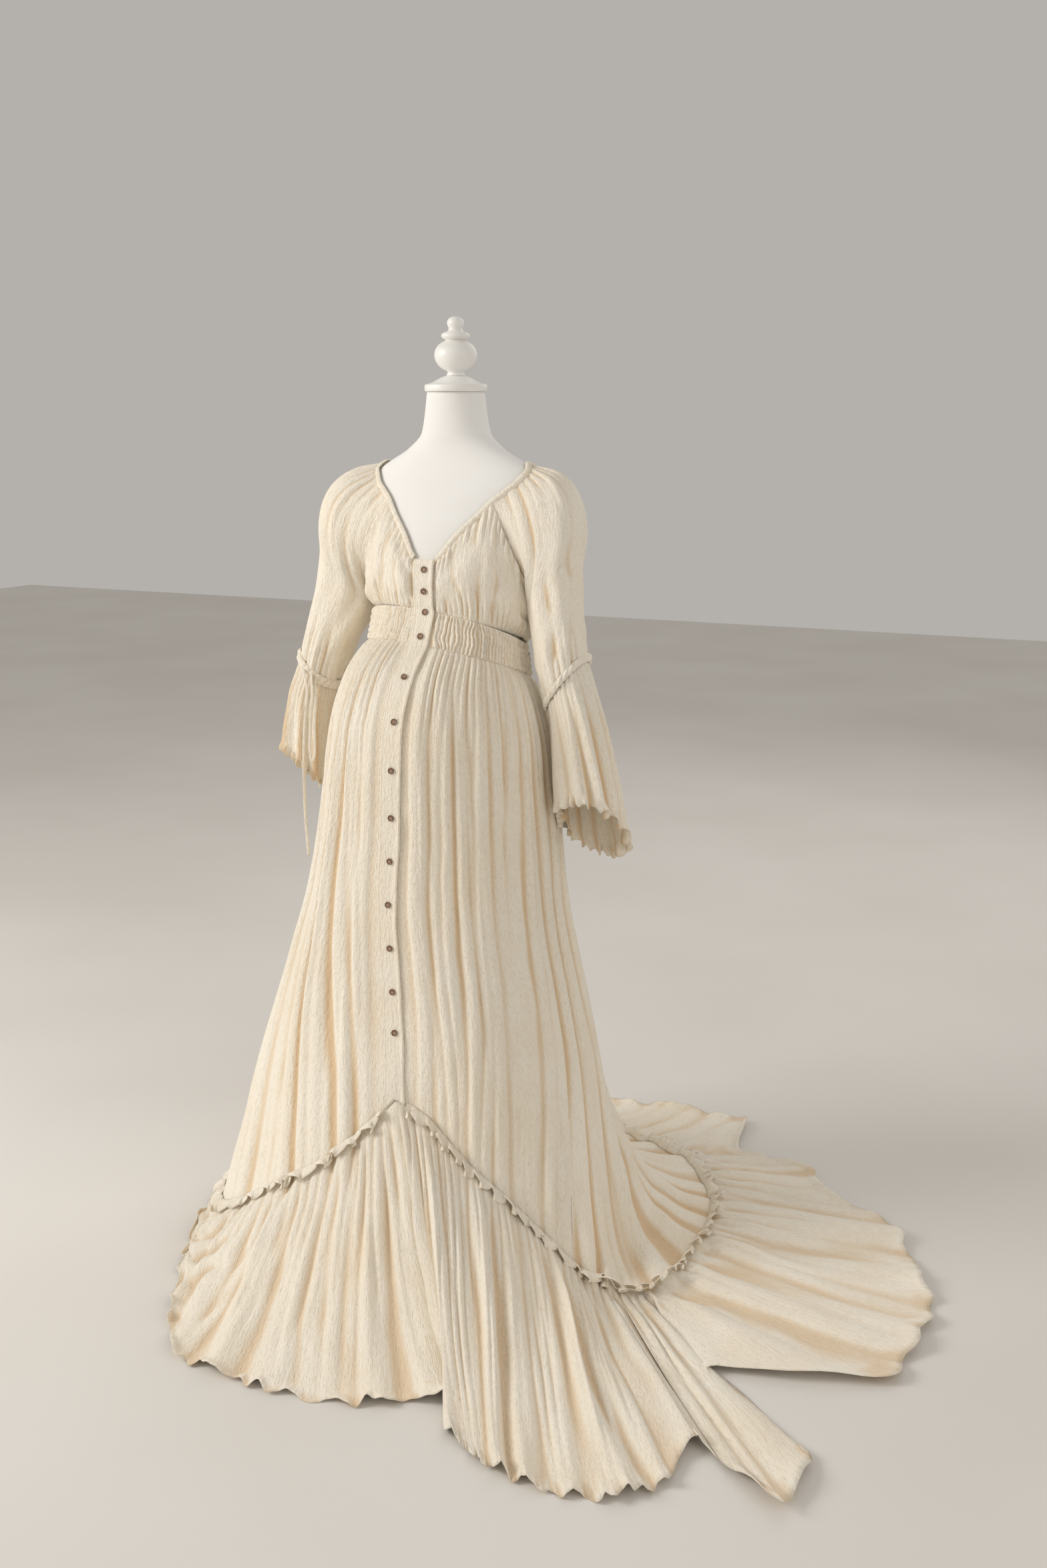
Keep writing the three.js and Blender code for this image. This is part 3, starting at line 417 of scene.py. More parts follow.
def skirt_base(angles, shares):
    """The hanging skirt without its folds, a column for each angle and a row for each share of its length."""
    fall = fall_at(angles)
    top = band_bottom(angles) - 2 * SEAM_GAP
    names, rows = SKIRT_RINGS
    rings = [dict(zip(names, row)) for row in rows]
    hips = [ring_point(ring, angles, top * ring["level"]) for ring in rings]
    knee = points_of(fall["knee_x"], fall["knee_y"], fall["knee_z"])
    seam = points_of(fall["seam_x"], fall["seam_y"], fall["seam_z"])
    landing = mix(knee, seam, 0.55)
    landing[:, 2] = mix(fall["seam_z"] + 24, landing[:, 2], smooth(fall["seam_z"], 12, 60))
    out = np.empty((len(angles), len(shares), 3))
    for rows, route in ((fall["seam_z"] < 60, [*hips, knee, landing, seam]),
                        (fall["seam_z"] >= 60, [*hips, knee, seam])):
        if rows.any():
            out[rows] = grain_route(np.stack(route)[:, rows], shares)
    return out


def skirt_normals(angles, shares):
    shares = np.clip(shares, 0.004, 0.996)
    across = skirt_base(angles + 0.4, shares) - skirt_base(angles - 0.4, shares)
    down = skirt_base(angles, shares + 0.004) - skirt_base(angles, shares - 0.004)
    return unit(np.cross(down, across))


def skirt_phase(angle):
    return (angle - PLACKET_ANGLE) / (360 - 2 * PLACKET_ANGLE) * SKIRT_PLEATS


def beside_placket(phase, count, width):
    return smooth(phase, 0, width) * smooth(count - phase, 0, width)


def skirt_fold(angle, v):
    """How far the pleats of the skirt stand out, and the share of that which is a crest."""
    phase = skirt_phase(angle)
    flat = beside_placket(phase, SKIRT_PLEATS, 0.34)
    wander = 0.42 * drift(phase * 0.55, v * 2.3, 5) * smooth(v, 0.0, 0.25)
    q = phase + wander * beside_placket(phase, SKIRT_PLEATS, 2)
    own = uneven(np.floor(q) + 3)
    strength = mix(0.55 + 0.45 * own, 0.08 + 0.92 * own ** 1.4, smooth(v, 0.05, 0.4))
    depth = mix(3.5, 14, smooth(v, 0, 0.35))
    main = strength * depth * fold_shape(q) * (0.75 + 0.25 * drift(phase * 0.7, v * 3, 43))
    fine_phase = phase * 2.6 + 0.3 * drift(phase * 1.3, v * 6, 9) * smooth(v, 0.0, 0.1)
    fine = 4.6 * gathers(fine_phase, v, 0.38, 21) * smooth(v, -0.004, 0.014)
    second = phase * 1.7 + 0.6 * drift(phase * 0.7, v * 3, 31)
    middle = 5.0 * fold_shape(second) * uneven(np.floor(second) + 91) ** 1.6 * smooth(v, 0.06, 0.4)
    broad = 3.0 * drift(phase * 0.5, v * 4, 17) * smooth(v, 0.1, 0.4)
    creases = 1.1 * drift(phase * 5, v * 15, 23) * smooth(v, 0.0, 0.2)
    inner = beside_placket(phase, SKIRT_PLEATS, 0.8)
    return flat * main * smooth(v, -0.01, 0.03) + inner * (fine + middle + broad + creases)


def flounce_base(angle, v):
    fall = fall_at(angle)
    seam = points_of(fall["seam_x"], fall["seam_y"], fall["seam_z"])
    hem = points_of(fall["hem_x"], fall["hem_y"], SOLID_WALL)
    foot = mix(seam, hem, fall["foot"][..., None])
    foot[..., 2] = mix(seam[..., 2], SOLID_WALL, 0.94)
    v = v[..., None]
    return seam * (1 - v) ** 2 + foot * 2 * v * (1 - v) + hem * v * v


def band_point(angle, v, fold=0.0):
    """The smocked band without its puckers, moved out by fold."""
    names, rows = SKIRT_RINGS
    ring = dict(zip(names, rows[0]))
    ring["half_width"] = ring["half_width"] - mix(8, 0, v)
    ring["front"] = ring["front"] + mix(25, 0, v)
    ring["back"] = ring["back"] - mix(9, 0, v)
    point = ring_point(ring, angle, band_bottom(angle) + BAND_HEIGHT * (1 - v))
    out = point - points_of(0, ring["middle"], point[..., 2])
    out[..., 2] = 0
    return point + unit(out) * np.asarray(fold)[..., None]


class Sleeve:
    """One sleeve's side of the body and its rings."""

    def __init__(self, name, sign, table):
        self.name = name
        self.sign = sign
        self.at = curve_through(table)

    def ring(self, turn, at):
        row = self.at(at)
        out, back = np.cos(turn), np.sin(turn)
        return points_of(self.sign * (row["x"] + row["half_width"] * out),
                         row["y"] + row["half_depth"] * back,
                         row["z"] + row["lean"] * out - row["dip"] * back)

    def edge(self, face, share):
        """The raglan edge, just beyond the bodice's."""
        s = np.clip(share, 0, 1) * (1 - 0.02 * np.clip(share, 0, 1) ** 8)

        def spot(at):
            return bodice_base(*raglan_spot(face, self.sign, at))
        along = unit(spot(s + 0.01) - spot(np.maximum(s - 0.01, 0)))
        normal = bodice_normal(*raglan_spot(face, self.sign, s))
        side = np.cross(normal, along) * mix(0.6, 1.6, smooth(s, 0.7, 1))[..., None]
        toward = np.where((side * (self.sign * 0.6, 0, 1)).sum(-1, keepdims=True) > 0, 1, -1)
        over = (SOLID_WALL + 0.6) * smooth(s, 0.3, 0.75)
        return spot(s) + side * toward + normal * over[..., None]

    def point(self, u, v):
        """A point of the sleeve: between the raglan seams above its shoulder share, and a tube below."""
        u, v = np.broadcast_arrays(self.sign * u, v)
        side = np.where(u < 0, -1.0, 1.0)
        ends = {s: self.edge("front" if s < 0 else "back", np.array(1.0)) for s in (-1, 1)}
        corner = (np.where(side[..., None] < 0, ends[-1], ends[1])
                  - self.ring(side * SEAM_TURN, np.zeros_like(u)))
        pull = np.abs(u) ** 6
        t = np.clip((v - SHOULDER_SHARE) / (1 - SHOULDER_SHARE), 0, 1)
        tube = self.ring(u * SEAM_TURN, t) + corner * (pull * (1 - smooth(t, 0, 0.3)))[..., None]
        t = np.clip(v / SHOULDER_SHARE, 0, 1)[..., None]
        to_back = ((u + 1) / 2)[..., None]
        neck_angle = mix(NECK_FRONT, NECK_BACK, (u + 1) / 2)
        angle = neck_angle if self.sign > 0 else 360 - neck_angle
        neck = bodice_base(angle, neck_height(angle) - SEAM_GAP)
        near, far = (bodice_base(np.array(a), neck_height(np.array(a)) - SEAM_GAP)
                     for a in ((NECK_FRONT, NECK_BACK) if self.sign > 0
                               else (360 - NECK_FRONT, 360 - NECK_BACK)))
        front, back = self.edge("front", t[..., 0]), self.edge("back", t[..., 0])
        ringed = self.ring(u * SEAM_TURN, np.zeros_like(u)) + corner * pull[..., None]
        patch = neck * (1 - t) + ringed * t + front * (1 - to_back) + back * to_back
        patch -= near * (1 - t) * (1 - to_back) + far * (1 - t) * to_back
        patch -= ends[-1] * t * (1 - to_back) + ends[1] * t * to_back
        puff = 38 * np.maximum(0, np.sin(math.pi * t[..., 0])) ** 1.3 * np.maximum(0, 1 - u * u) ** 0.7
        patch += puff[..., None] * np.array((self.sign * 0.6, 0, 0.8))
        return np.where((v >= SHOULDER_SHARE)[..., None], tube, patch)


SLEEVES = (Sleeve("left", 1, LEFT_SLEEVE), Sleeve("right", -1, RIGHT_SLEEVE))


def placket_base(x, row_surface, v):
    """A point of the cloth under the placket, x from its middle, on one of the surfaces down the front."""
    zero, one = np.zeros_like(v), np.ones_like(v)
    degree = np.linalg.norm(row_surface(one, v) - row_surface(zero, v), axis=-1)
    return row_surface(x / degree, v)


def front_bodice(angle, v):
    wrapped = np.mod(angle + 360, 360)
    return bodice_base(wrapped, mix(neck_height(np.zeros_like(v)), band_top(angle) + 2 * SEAM_GAP, v))


def front_skirt(angle, v):
    near = np.linspace(-9, 9, 37)
    table = skirt_base(np.mod(near + 360, 360), v)
    return np.array([[np.interp(a, near, table[:, row, k]) for k in range(3)] for row, a in enumerate(angle)])


# Meshes

def new_object(name, vertices, faces, material):
    mesh = bpy.data.meshes.new(name)
    mesh.from_pydata((np.asarray(vertices) * MM).tolist(), [], np.asarray(faces).tolist())
    mesh.shade_smooth()
    mesh.materials.append(material)
    piece = bpy.data.objects.new(name, mesh)
    bpy.context.scene.collection.objects.link(piece)
    return piece


def grid_faces(across, down, closed):
    """Quads of the face, the back and the rim of a wall over a grid."""
    columns = np.arange(across if closed else across - 1)
    i, j = np.meshgrid(columns, np.arange(down - 1), indexing="ij")
    i, j = i.ravel(), j.ravel()
    k = (i + 1) % across

    def at(a, b, side):
        return side * across * down + a * down + b
    faces = [np.stack([at(i, j, 0), at(i, j + 1, 0), at(k, j + 1, 0), at(k, j, 0)], 1),
             np.stack([at(i, j, 1), at(k, j, 1), at(k, j + 1, 1), at(i, j + 1, 1)], 1)]
    a, b = columns, (columns + 1) % across
    last = np.full_like(a, down - 1)
    top = np.zeros_like(a)
    faces.append(np.stack([at(a, top, 1), at(a, top, 0), at(b, top, 0), at(b, top, 1)], 1))
    faces.append(np.stack([at(a, last, 0), at(a, last, 1), at(b, last, 1), at(b, last, 0)], 1))
    if not closed:
        r = np.arange(down - 1)
        e = across - 1
        faces.append(np.stack([at(0, r, 0), at(0, r, 1), at(0, r + 1, 1), at(0, r + 1, 0)], 1))
        faces.append(np.stack([at(e, r, 1), at(e, r, 0), at(e, r + 1, 0), at(e, r + 1, 1)], 1))
    return np.concatenate(faces)


def cloth(name, face, material, thickness=None, closed=False, hollow=None, floor=0.4):
    """A thin closed wall of cloth behind a grid of face points, its thread directions as UVs in metres."""
    thickness = thickness or bpy.context.scene.dress_sizes.cloth_thickness / MM
    across, down = face.shape[:2]
    normals = grid_normals(face, closed)
    face = face.copy()
    back = face - normals * thickness
    back[..., 2] = np.maximum(back[..., 2], floor)
    face[..., 2] = np.maximum(face[..., 2], floor + thickness)
    vertices = np.concatenate([face.reshape(-1, 3), back.reshape(-1, 3)])
    faces = grid_faces(across, down, closed)
    piece = new_object(name, vertices, faces, material)
    step_u = np.linalg.norm(np.diff(face, axis=0), axis=-1).mean(axis=1)
    step_v = np.linalg.norm(np.diff(face, axis=1), axis=-1).mean(axis=0)
    u = np.concatenate([[0], np.cumsum(step_u)]) * MM
    v = np.concatenate([[0], np.cumsum(step_v)]) * MM
    seed = sum(map(ord, name)) % 97 * 0.37
    uv = np.stack(np.meshgrid(u + seed, v + seed, indexing="ij"), axis=-1).reshape(-1, 2)
    uv = np.concatenate([uv, uv])
    loops = np.empty(len(piece.data.loops), int)
    piece.data.loops.foreach_get("vertex_index", loops)
    layer = piece.data.uv_layers.new(name="thread")
    layer.data.foreach_set("uv", uv[loops].astype(np.float32).ravel())
    # The amount of painted fold shade on every point, kept as an attribute that the gauze material reads
    depth = np.zeros((across, down)) if hollow is None else np.broadcast_to(hollow, (across, down))
    attribute = piece.data.attributes.new("hollow", "FLOAT", "POINT")
    attribute.data.foreach_set("value", np.tile(depth.ravel(), 2).astype(np.float32))
    return piece


def turned_in(face, edges, depth=3.5, radius=1.2):
    """Turns the named edges of a grid inwards, as cloth goes in at a seam."""
    normals = grid_normals(face)
    for edge in edges:
        axis, last = {"top": (1, False), "bottom": (1, True), "start": (0, False), "end": (0, True)}[edge]
        points, outward = np.moveaxis(face, axis, 0), np.moveaxis(normals, axis, 0)
        if not last:
            points, outward = points[::-1], outward[::-1]
        away, normal = unit(points[-1] - points[-2]), outward[-1]
        bend = [points[-1] + away * radius * math.sin(t) - normal * radius * (1 - math.cos(t))
                for t in (0.8, 1.57)]
        points = np.concatenate([points, bend, [points[-1] + away * radius - normal * depth]])
        outward = np.concatenate([outward, [normal] * 3])
        if not last:
            points, outward = points[::-1], outward[::-1]
        face, normals = np.moveaxis(points, 0, axis), np.moveaxis(outward, 0, axis)
    return face


def underlapped(face, edge, reach, depth):
    """Carries the cloth on beyond its first or last column and behind the panel that laps over it."""
    normals = grid_normals(face)
    points, outward = (face[::-1], normals[::-1]) if edge == "start" else (face, normals)
    away, normal = unit(points[-1] - points[-3]), outward[-1]
    share = np.sin(math.pi * np.linspace(0, 1, face.shape[1])) ** 0.5
    steps = ((0.06, 0.25), (0.2, 0.8), (0.6, 1), (1, 1.2))
    strip = [points[-1] + away * (reach * out * share)[:, None] - normal * (depth * back * share)[:, None]
             for out, back in steps]
    points = np.concatenate([points, strip])
    return points[::-1] if edge == "start" else points


def painted_shade_depth(points, normals, reach, closed=False):
    """How far each grid point lies behind the mean of its neighbours across the folds, from 0 to 1."""
    height = np.zeros(points.shape[:2])
    for step in (reach, 2 * reach):
        if closed:
            left, right = np.roll(points, step, axis=0), np.roll(points, -step, axis=0)
        else:
            padded = np.pad(points, ((step, step), (0, 0), (0, 0)), mode="edge")
            left, right = padded[:-2 * step], padded[2 * step:]
        height += (((left + right) / 2 - points) * normals).sum(-1)
    return np.clip((height - 0.5) / 9, 0, 1)


def lathe(name, profile, z, material, sides=96):
    """A turned solid from its profile of (radius, height) rows, closed on the axis."""
    rows = np.array(profile, float)
    turn = np.linspace(0, 2 * math.pi, sides, endpoint=False)
    inner = rows[1:-1]
    x = inner[:, 0:1] * np.cos(turn)
    y = inner[:, 0:1] * np.sin(turn)
    rings = points_of(x, y, inner[:, 1:2] + z).reshape(-1, 3)
    ends = np.array([(0, 0, rows[0, 1] + z), (0, 0, rows[-1, 1] + z)])
    count = len(inner)
    faces = []
    for j in range(count - 1):
        for i in range(sides):
            k = (i + 1) % sides
            faces.append((j * sides + i, j * sides + k, (j + 1) * sides + k, (j + 1) * sides + i))
    caps = [(count * sides, (i + 1) % sides, i) for i in range(sides)]
    last = (count - 1) * sides
    caps += [(count * sides + 1, last + i, last + (i + 1) % sides) for i in range(sides)]
    return mixed_object(name, np.concatenate([rings, ends]), faces + caps, material)


def mixed_object(name, vertices, faces, material):
    """An object whose faces have three or four corners."""
    mesh = bpy.data.meshes.new(name)
    mesh.from_pydata((np.asarray(vertices) * MM).tolist(), [], faces)
    mesh.shade_smooth()
    mesh.materials.append(material)
    piece = bpy.data.objects.new(name, mesh)
    bpy.context.scene.collection.objects.link(piece)
    return piece


# Materials

def linear(colour):
    """A hex colour as seen on a screen, turned to the linear values a shader takes."""
    channels = [int(colour[i:i + 2], 16) / 255 for i in (1, 3, 5)]
    return (*[c / 12.92 if c <= 0.04045 else ((c + 0.055) / 1.055) ** 2.4 for c in channels], 1.0)


def add_node(tree, kind, sockets=None, links=None, **settings):
    """Adds one node, with values for its sockets, links into its inputs and settings of its properties."""
    made = tree.nodes.new(kind)
    for name, value in settings.items():
        setattr(made, name, value)
    for name, value in (sockets or {}).items():
        made.inputs[name].default_value = value
    for name, source in (links or {}).items():
        tree.links.new(source, made.inputs[name])
    return made


def new_material(name):
    material = bpy.data.materials.new(name)
    material.use_nodes = True
    tree = material.node_tree
    tree.nodes.clear()
    return material, tree


def finish_material(tree, colour, bump, roughness, **constants):
    sockets = {"Roughness": roughness, **{key.replace("_", " "): value for key, value in constants.items()}}
    shader = add_node(tree, "ShaderNodeBsdfPrincipled", sockets, {"Base Color": colour, "Normal": bump})
    add_node(tree, "ShaderNodeOutputMaterial", links={"Surface": shader.outputs["BSDF"]})


def stretched(tree, source, scale):
    """Texture space with its own scale each way."""
    return add_node(tree, "ShaderNodeMapping", {"Scale": scale}, {"Vector": source}).outputs["Vector"]


def cotton_gauze(name, crest, shade, crinkle):
    """Washed cotton double gauze: a loose weave, crinkled along the grain and warmer where it is hollow."""
    material, tree = new_material(name)
    thread = add_node(tree, "ShaderNodeUVMap", uv_map="thread").outputs["UV"]
    place = add_node(tree, "ShaderNodeTexCoord").outputs["Object"]
    # Crinkles about 5 mm apart across the cloth and 17 mm long, and a second set about 2 by 4 mm
    crinkles = add_node(tree, "ShaderNodeTexNoise", {"Scale": 1.0, "Detail": 3.0, "Roughness": 0.55},
                        {"Vector": stretched(tree, thread, (210, 60, 1))}).outputs["Fac"]
    fine = add_node(tree, "ShaderNodeTexNoise", {"Scale": 1.0, "Detail": 2.0, "Roughness": 0.5},
                    {"Vector": stretched(tree, thread, (520, 240, 1))}).outputs["Fac"]
    # Threads are taken as 0.4 mm apart on the real cloth and are drawn 3.1 mm apart, to show
    warp = add_node(tree, "ShaderNodeTexWave", {"Scale": 100.0, "Distortion": 1.2, "Detail": 1.0},
                    {"Vector": thread}, bands_direction="X").outputs["Fac"]
    weft = add_node(tree, "ShaderNodeTexWave", {"Scale": 100.0, "Distortion": 1.2, "Detail": 1.0},
                    {"Vector": thread}, bands_direction="Y").outputs["Fac"]
    weave = add_node(tree, "ShaderNodeMath", links={0: warp, 1: weft}, operation="MULTIPLY").outputs[0]
    rough = add_node(tree, "ShaderNodeMath", {1: 0.45}, {0: fine}, operation="MULTIPLY").outputs[0]
    relief = add_node(tree, "ShaderNodeMath", links={0: crinkles, 1: rough}, operation="ADD").outputs[0]
    low = add_node(tree, "ShaderNodeBump", {"Strength": 1.0, "Distance": crinkle}, {"Height": relief})
    bump = add_node(tree, "ShaderNodeBump", {"Strength": 0.35, "Distance": 0.0004},
                    {"Height": weave, "Normal": low.outputs["Normal"]}).outputs["Normal"]
    # Uneven washing, and painted shade: the warm, darker colour that light bounced between folds gives their
    # hollows
    wash = add_node(tree, "ShaderNodeTexNoise", {"Scale": 7.0, "Detail": 4.0},
                    {"Vector": place}).outputs["Fac"]
    slub = add_node(tree, "ShaderNodeTexNoise", {"Scale": 1.0, "Detail": 2.0},
                    {"Vector": stretched(tree, thread, (520, 90, 1))}).outputs["Fac"]
    hollow = add_node(tree, "ShaderNodeAttribute", attribute_name="hollow").outputs["Fac"]
    light = mix_colour(tree, wash, linear(crest), linear("#F2E7D3"), 0.35, 0.75)
    specked = mix_colour(tree, slub, linear("#E6D6B8"), light, 0.2, 0.45)
    # Painted shade: the colour runs to the warm shade colour as the fold gets deeper
    colour = mix_colour(tree, hollow, specked, linear(shade), 0.0, 1.0)
    finish_material(tree, colour, bump, 0.92, Sheen_Weight=0.18, Sheen_Roughness=0.5, Specular_IOR_Level=0.2)
    return material


def mix_colour(tree, factor, low, high, start, end):
    """Runs from one colour to the other as factor goes from start to end."""
    reach = add_node(tree, "ShaderNodeMapRange", {"From Min": start, "From Max": end}, {"Value": factor},
                     clamp=True)
    made = tree.nodes.new("ShaderNodeMix")
    made.data_type = "RGBA"
    tree.links.new(reach.outputs["Result"], made.inputs["Factor"])
    for socket, value in ((made.inputs[6], low), (made.inputs[7], high)):
        if isinstance(value, bpy.types.NodeSocket):
            tree.links.new(value, socket)
        else:
            socket.default_value = value
    return made.outputs[2]


def white_jersey():
    """Cotton jersey pulled smooth over the torso, with its fine upright ribs of knit."""
    material, tree = new_material("white_jersey_cover")
    place = add_node(tree, "ShaderNodeTexCoord").outputs["Object"]
    knit = add_node(tree, "ShaderNodeTexNoise", {"Scale": 1.0, "Detail": 2.0},
                    {"Vector": stretched(tree, place, (900, 900, 420))}).outputs["Fac"]
    tone = add_node(tree, "ShaderNodeTexNoise", {"Scale": 5.0, "Detail": 2.0},
                    {"Vector": place}).outputs["Fac"]
    bump = add_node(tree, "ShaderNodeBump", {"Strength": 0.4, "Distance": 0.0004},
                    {"Height": knit}).outputs["Normal"]
    colour = mix_colour(tree, tone, linear("#F4F3F0"), linear("#ECEAE5"), 0.3, 0.7)
    finish_material(tree, colour, bump, 0.85, Sheen_Weight=0.1, Specular_IOR_Level=0.3)
    return material


def white_paint():
    """Satin paint on turned beech, sprayed, with the faint ripple of its grain and lathe marks."""
    material, tree = new_material("satin_white_paint_on_beech")
    place = add_node(tree, "ShaderNodeTexCoord").outputs["Object"]
    rings = add_node(tree, "ShaderNodeTexNoise", {"Scale": 1.0, "Detail": 2.0},
                     {"Vector": stretched(tree, place, (30, 30, 500))}).outputs["Fac"]
    tone = add_node(tree, "ShaderNodeTexNoise", {"Scale": 18.0, "Detail": 3.0},
                    {"Vector": place}).outputs["Fac"]
    bump = add_node(tree, "ShaderNodeBump", {"Strength": 0.25, "Distance": 0.0003},
                    {"Height": rings}).outputs["Normal"]
    colour = mix_colour(tree, tone, linear("#F6F5F2"), linear("#EEECE7"), 0.3, 0.7)
    finish_material(tree, colour, bump, 0.42, Coat_Weight=0.12)
    return material


def coconut_shell(rim, face):
    """Turned and polished coconut shell: brown, flecked with darker fibres."""
    material, tree = new_material("polished_coconut_shell")
    place = add_node(tree, "ShaderNodeTexCoord").outputs["Object"]
    fibres = add_node(tree, "ShaderNodeTexNoise", {"Scale": 1.0, "Detail": 4.0},
                      {"Vector": stretched(tree, place, (1600, 1600, 500))}).outputs["Fac"]
    edge = add_node(tree, "ShaderNodeAttribute", attribute_name="rim").outputs["Fac"]
    bump = add_node(tree, "ShaderNodeBump", {"Strength": 0.3, "Distance": 0.0002},
                    {"Height": fibres}).outputs["Normal"]
    flecked = mix_colour(tree, fibres, linear(rim), linear(face), 0.38, 0.6)
    colour = mix_colour(tree, edge, flecked, linear("#6A4D39"), 0.0, 1.0)
    finish_material(tree, colour, bump, 0.45, Coat_Weight=0.1)
    return material


def cotton_thread(name, colour_hex):
    """Spun cotton sewing thread, matte and twisted."""
    material, tree = new_material(name)
    place = add_node(tree, "ShaderNodeTexCoord").outputs["Object"]
    twist = add_node(tree, "ShaderNodeTexNoise", {"Scale": 2500.0}, {"Vector": place}).outputs["Fac"]
    bump = add_node(tree, "ShaderNodeBump", {"Strength": 0.3, "Distance": 0.0001},
                    {"Height": twist}).outputs["Normal"]
    colour = mix_colour(tree, twist, linear(colour_hex), linear("#D9C6A2"), 0.35, 0.7)
    finish_material(tree, colour, bump, 0.8)
    return material


def studio_paper():
    """Matt seamless paper, a plain pale warm grey."""
    material, tree = new_material("pale_studio_paper")
    place = add_node(tree, "ShaderNodeTexCoord").outputs["Object"]
    tone = add_node(tree, "ShaderNodeTexNoise", {"Scale": 1.2, "Detail": 2.0},
                    {"Vector": place}).outputs["Fac"]
    bump = add_node(tree, "ShaderNodeBump", {"Strength": 0.05, "Distance": 0.0005},
                    {"Height": tone}).outputs["Normal"]
    colour = mix_colour(tree, tone, linear("#E4E1DC"), linear("#DEDAD4"), 0.3, 0.7)
    finish_material(tree, colour, bump, 0.9)
    return material


def material_named(name, make, *args):
    """The material of that name, made the first time it is asked for."""
    return bpy.data.materials.get(name) or make(*args)


def hex_of(colour):
    return "#" + "".join(f"{round(c * 255):02X}" for c in colour)


def gauze():
    looks = bpy.context.scene.dress_looks
    crinkle = bpy.context.scene.dress_sizes.crinkle_depth
    return material_named("washed_cotton_double_gauze", cotton_gauze, "washed_cotton_double_gauze",
                          hex_of(looks.gauze), hex_of(looks.gauze_painted_shade), crinkle)


def jersey():
    return material_named("white_jersey_cover", white_jersey)


def paint():
    return material_named("satin_white_paint_on_beech", white_paint)


def thread():
    return material_named("cream_cotton_thread", cotton_thread, "cream_cotton_thread", "#EFE2C8")


# Repeating details, made by geometry nodes

def along_tree(name, set_material):
    """A tree that lays small round stitches along the edges of a mesh, end to end with gaps."""
    tree = bpy.data.node_groups.new(name, "GeometryNodeTree")
    face = tree.interface
    face.new_socket("Geometry", in_out="INPUT", socket_type="NodeSocketGeometry")
    for label in ("Pitch", "Length", "Thickness"):
        face.new_socket(label, in_out="INPUT", socket_type="NodeSocketFloat")
    face.new_socket("Geometry", in_out="OUTPUT", socket_type="NodeSocketGeometry")
    given = tree.nodes.new("NodeGroupInput")
    line = add_node(tree, "GeometryNodeMeshToCurve", links={"Mesh": given.outputs["Geometry"]})
    spaced = add_node(tree, "GeometryNodeResampleCurve",
                      links={"Curve": line.outputs[0], "Length": given.outputs["Pitch"]},
                      mode="LENGTH")
    tangent = add_node(tree, "GeometryNodeInputTangent").outputs[0]
    turned = add_node(tree, "FunctionNodeAlignRotationToVector", links={"Vector": tangent},
                      axis="Z").outputs[0]
    stitch = add_node(tree, "GeometryNodeMeshCylinder", {"Vertices": 6},
                      {"Radius": given.outputs["Thickness"],
                       "Depth": given.outputs["Length"]}).outputs["Mesh"]
    laid = add_node(tree, "GeometryNodeInstanceOnPoints",
                    links={"Points": spaced.outputs[0], "Instance": stitch, "Rotation": turned}).outputs[0]
    real = add_node(tree, "GeometryNodeRealizeInstances", links={0: laid}).outputs[0]
    coloured = add_node(tree, "GeometryNodeSetMaterial", {"Material": set_material},
                        {"Geometry": real}).outputs[0]
    out = tree.nodes.new("NodeGroupOutput")
    tree.links.new(coloured, out.inputs["Geometry"])
    return tree


def facing_tree(name, set_material):
    """A tree that sets one shape on each point of a mesh, turned to its facing and sideways attributes."""
    tree = bpy.data.node_groups.new(name, "GeometryNodeTree")
    face = tree.interface
    face.new_socket("Geometry", in_out="INPUT", socket_type="NodeSocketGeometry")
    face.new_socket("Shape", in_out="INPUT", socket_type="NodeSocketObject")
    face.new_socket("Lift", in_out="INPUT", socket_type="NodeSocketFloat")
    face.new_socket("Geometry", in_out="OUTPUT", socket_type="NodeSocketGeometry")
    given = tree.nodes.new("NodeGroupInput")
    shape = add_node(tree, "GeometryNodeObjectInfo",
                     links={"Object": given.outputs["Shape"]}).outputs["Geometry"]
    facing = add_node(tree, "GeometryNodeInputNamedAttribute", {"Name": "facing"},
                      data_type="FLOAT_VECTOR").outputs[0]
    sideways = add_node(tree, "GeometryNodeInputNamedAttribute", {"Name": "sideways"},
                        data_type="FLOAT_VECTOR").outputs[0]
    upright = add_node(tree, "FunctionNodeAlignRotationToVector", links={"Vector": facing},
                       axis="Z").outputs[0]
    turned = add_node(tree, "FunctionNodeAlignRotationToVector",
                      links={"Rotation": upright, "Vector": sideways},
                      axis="X", pivot_axis="Z").outputs[0]
    lift = add_node(tree, "ShaderNodeVectorMath", links={0: facing, "Scale": given.outputs["Lift"]},
                    operation="SCALE").outputs[0]
    raised = add_node(tree, "GeometryNodeSetPosition",
                      links={"Geometry": given.outputs["Geometry"], "Offset": lift}).outputs[0]
    laid = add_node(tree, "GeometryNodeInstanceOnPoints",
                    links={"Points": raised, "Instance": shape, "Rotation": turned}).outputs[0]
    real = add_node(tree, "GeometryNodeRealizeInstances", links={0: laid}).outputs[0]
    coloured = add_node(tree, "GeometryNodeSetMaterial", {"Material": set_material},
                        {"Geometry": real}).outputs[0]
    out = tree.nodes.new("NodeGroupOutput")
    tree.links.new(coloured, out.inputs["Geometry"])
    return tree


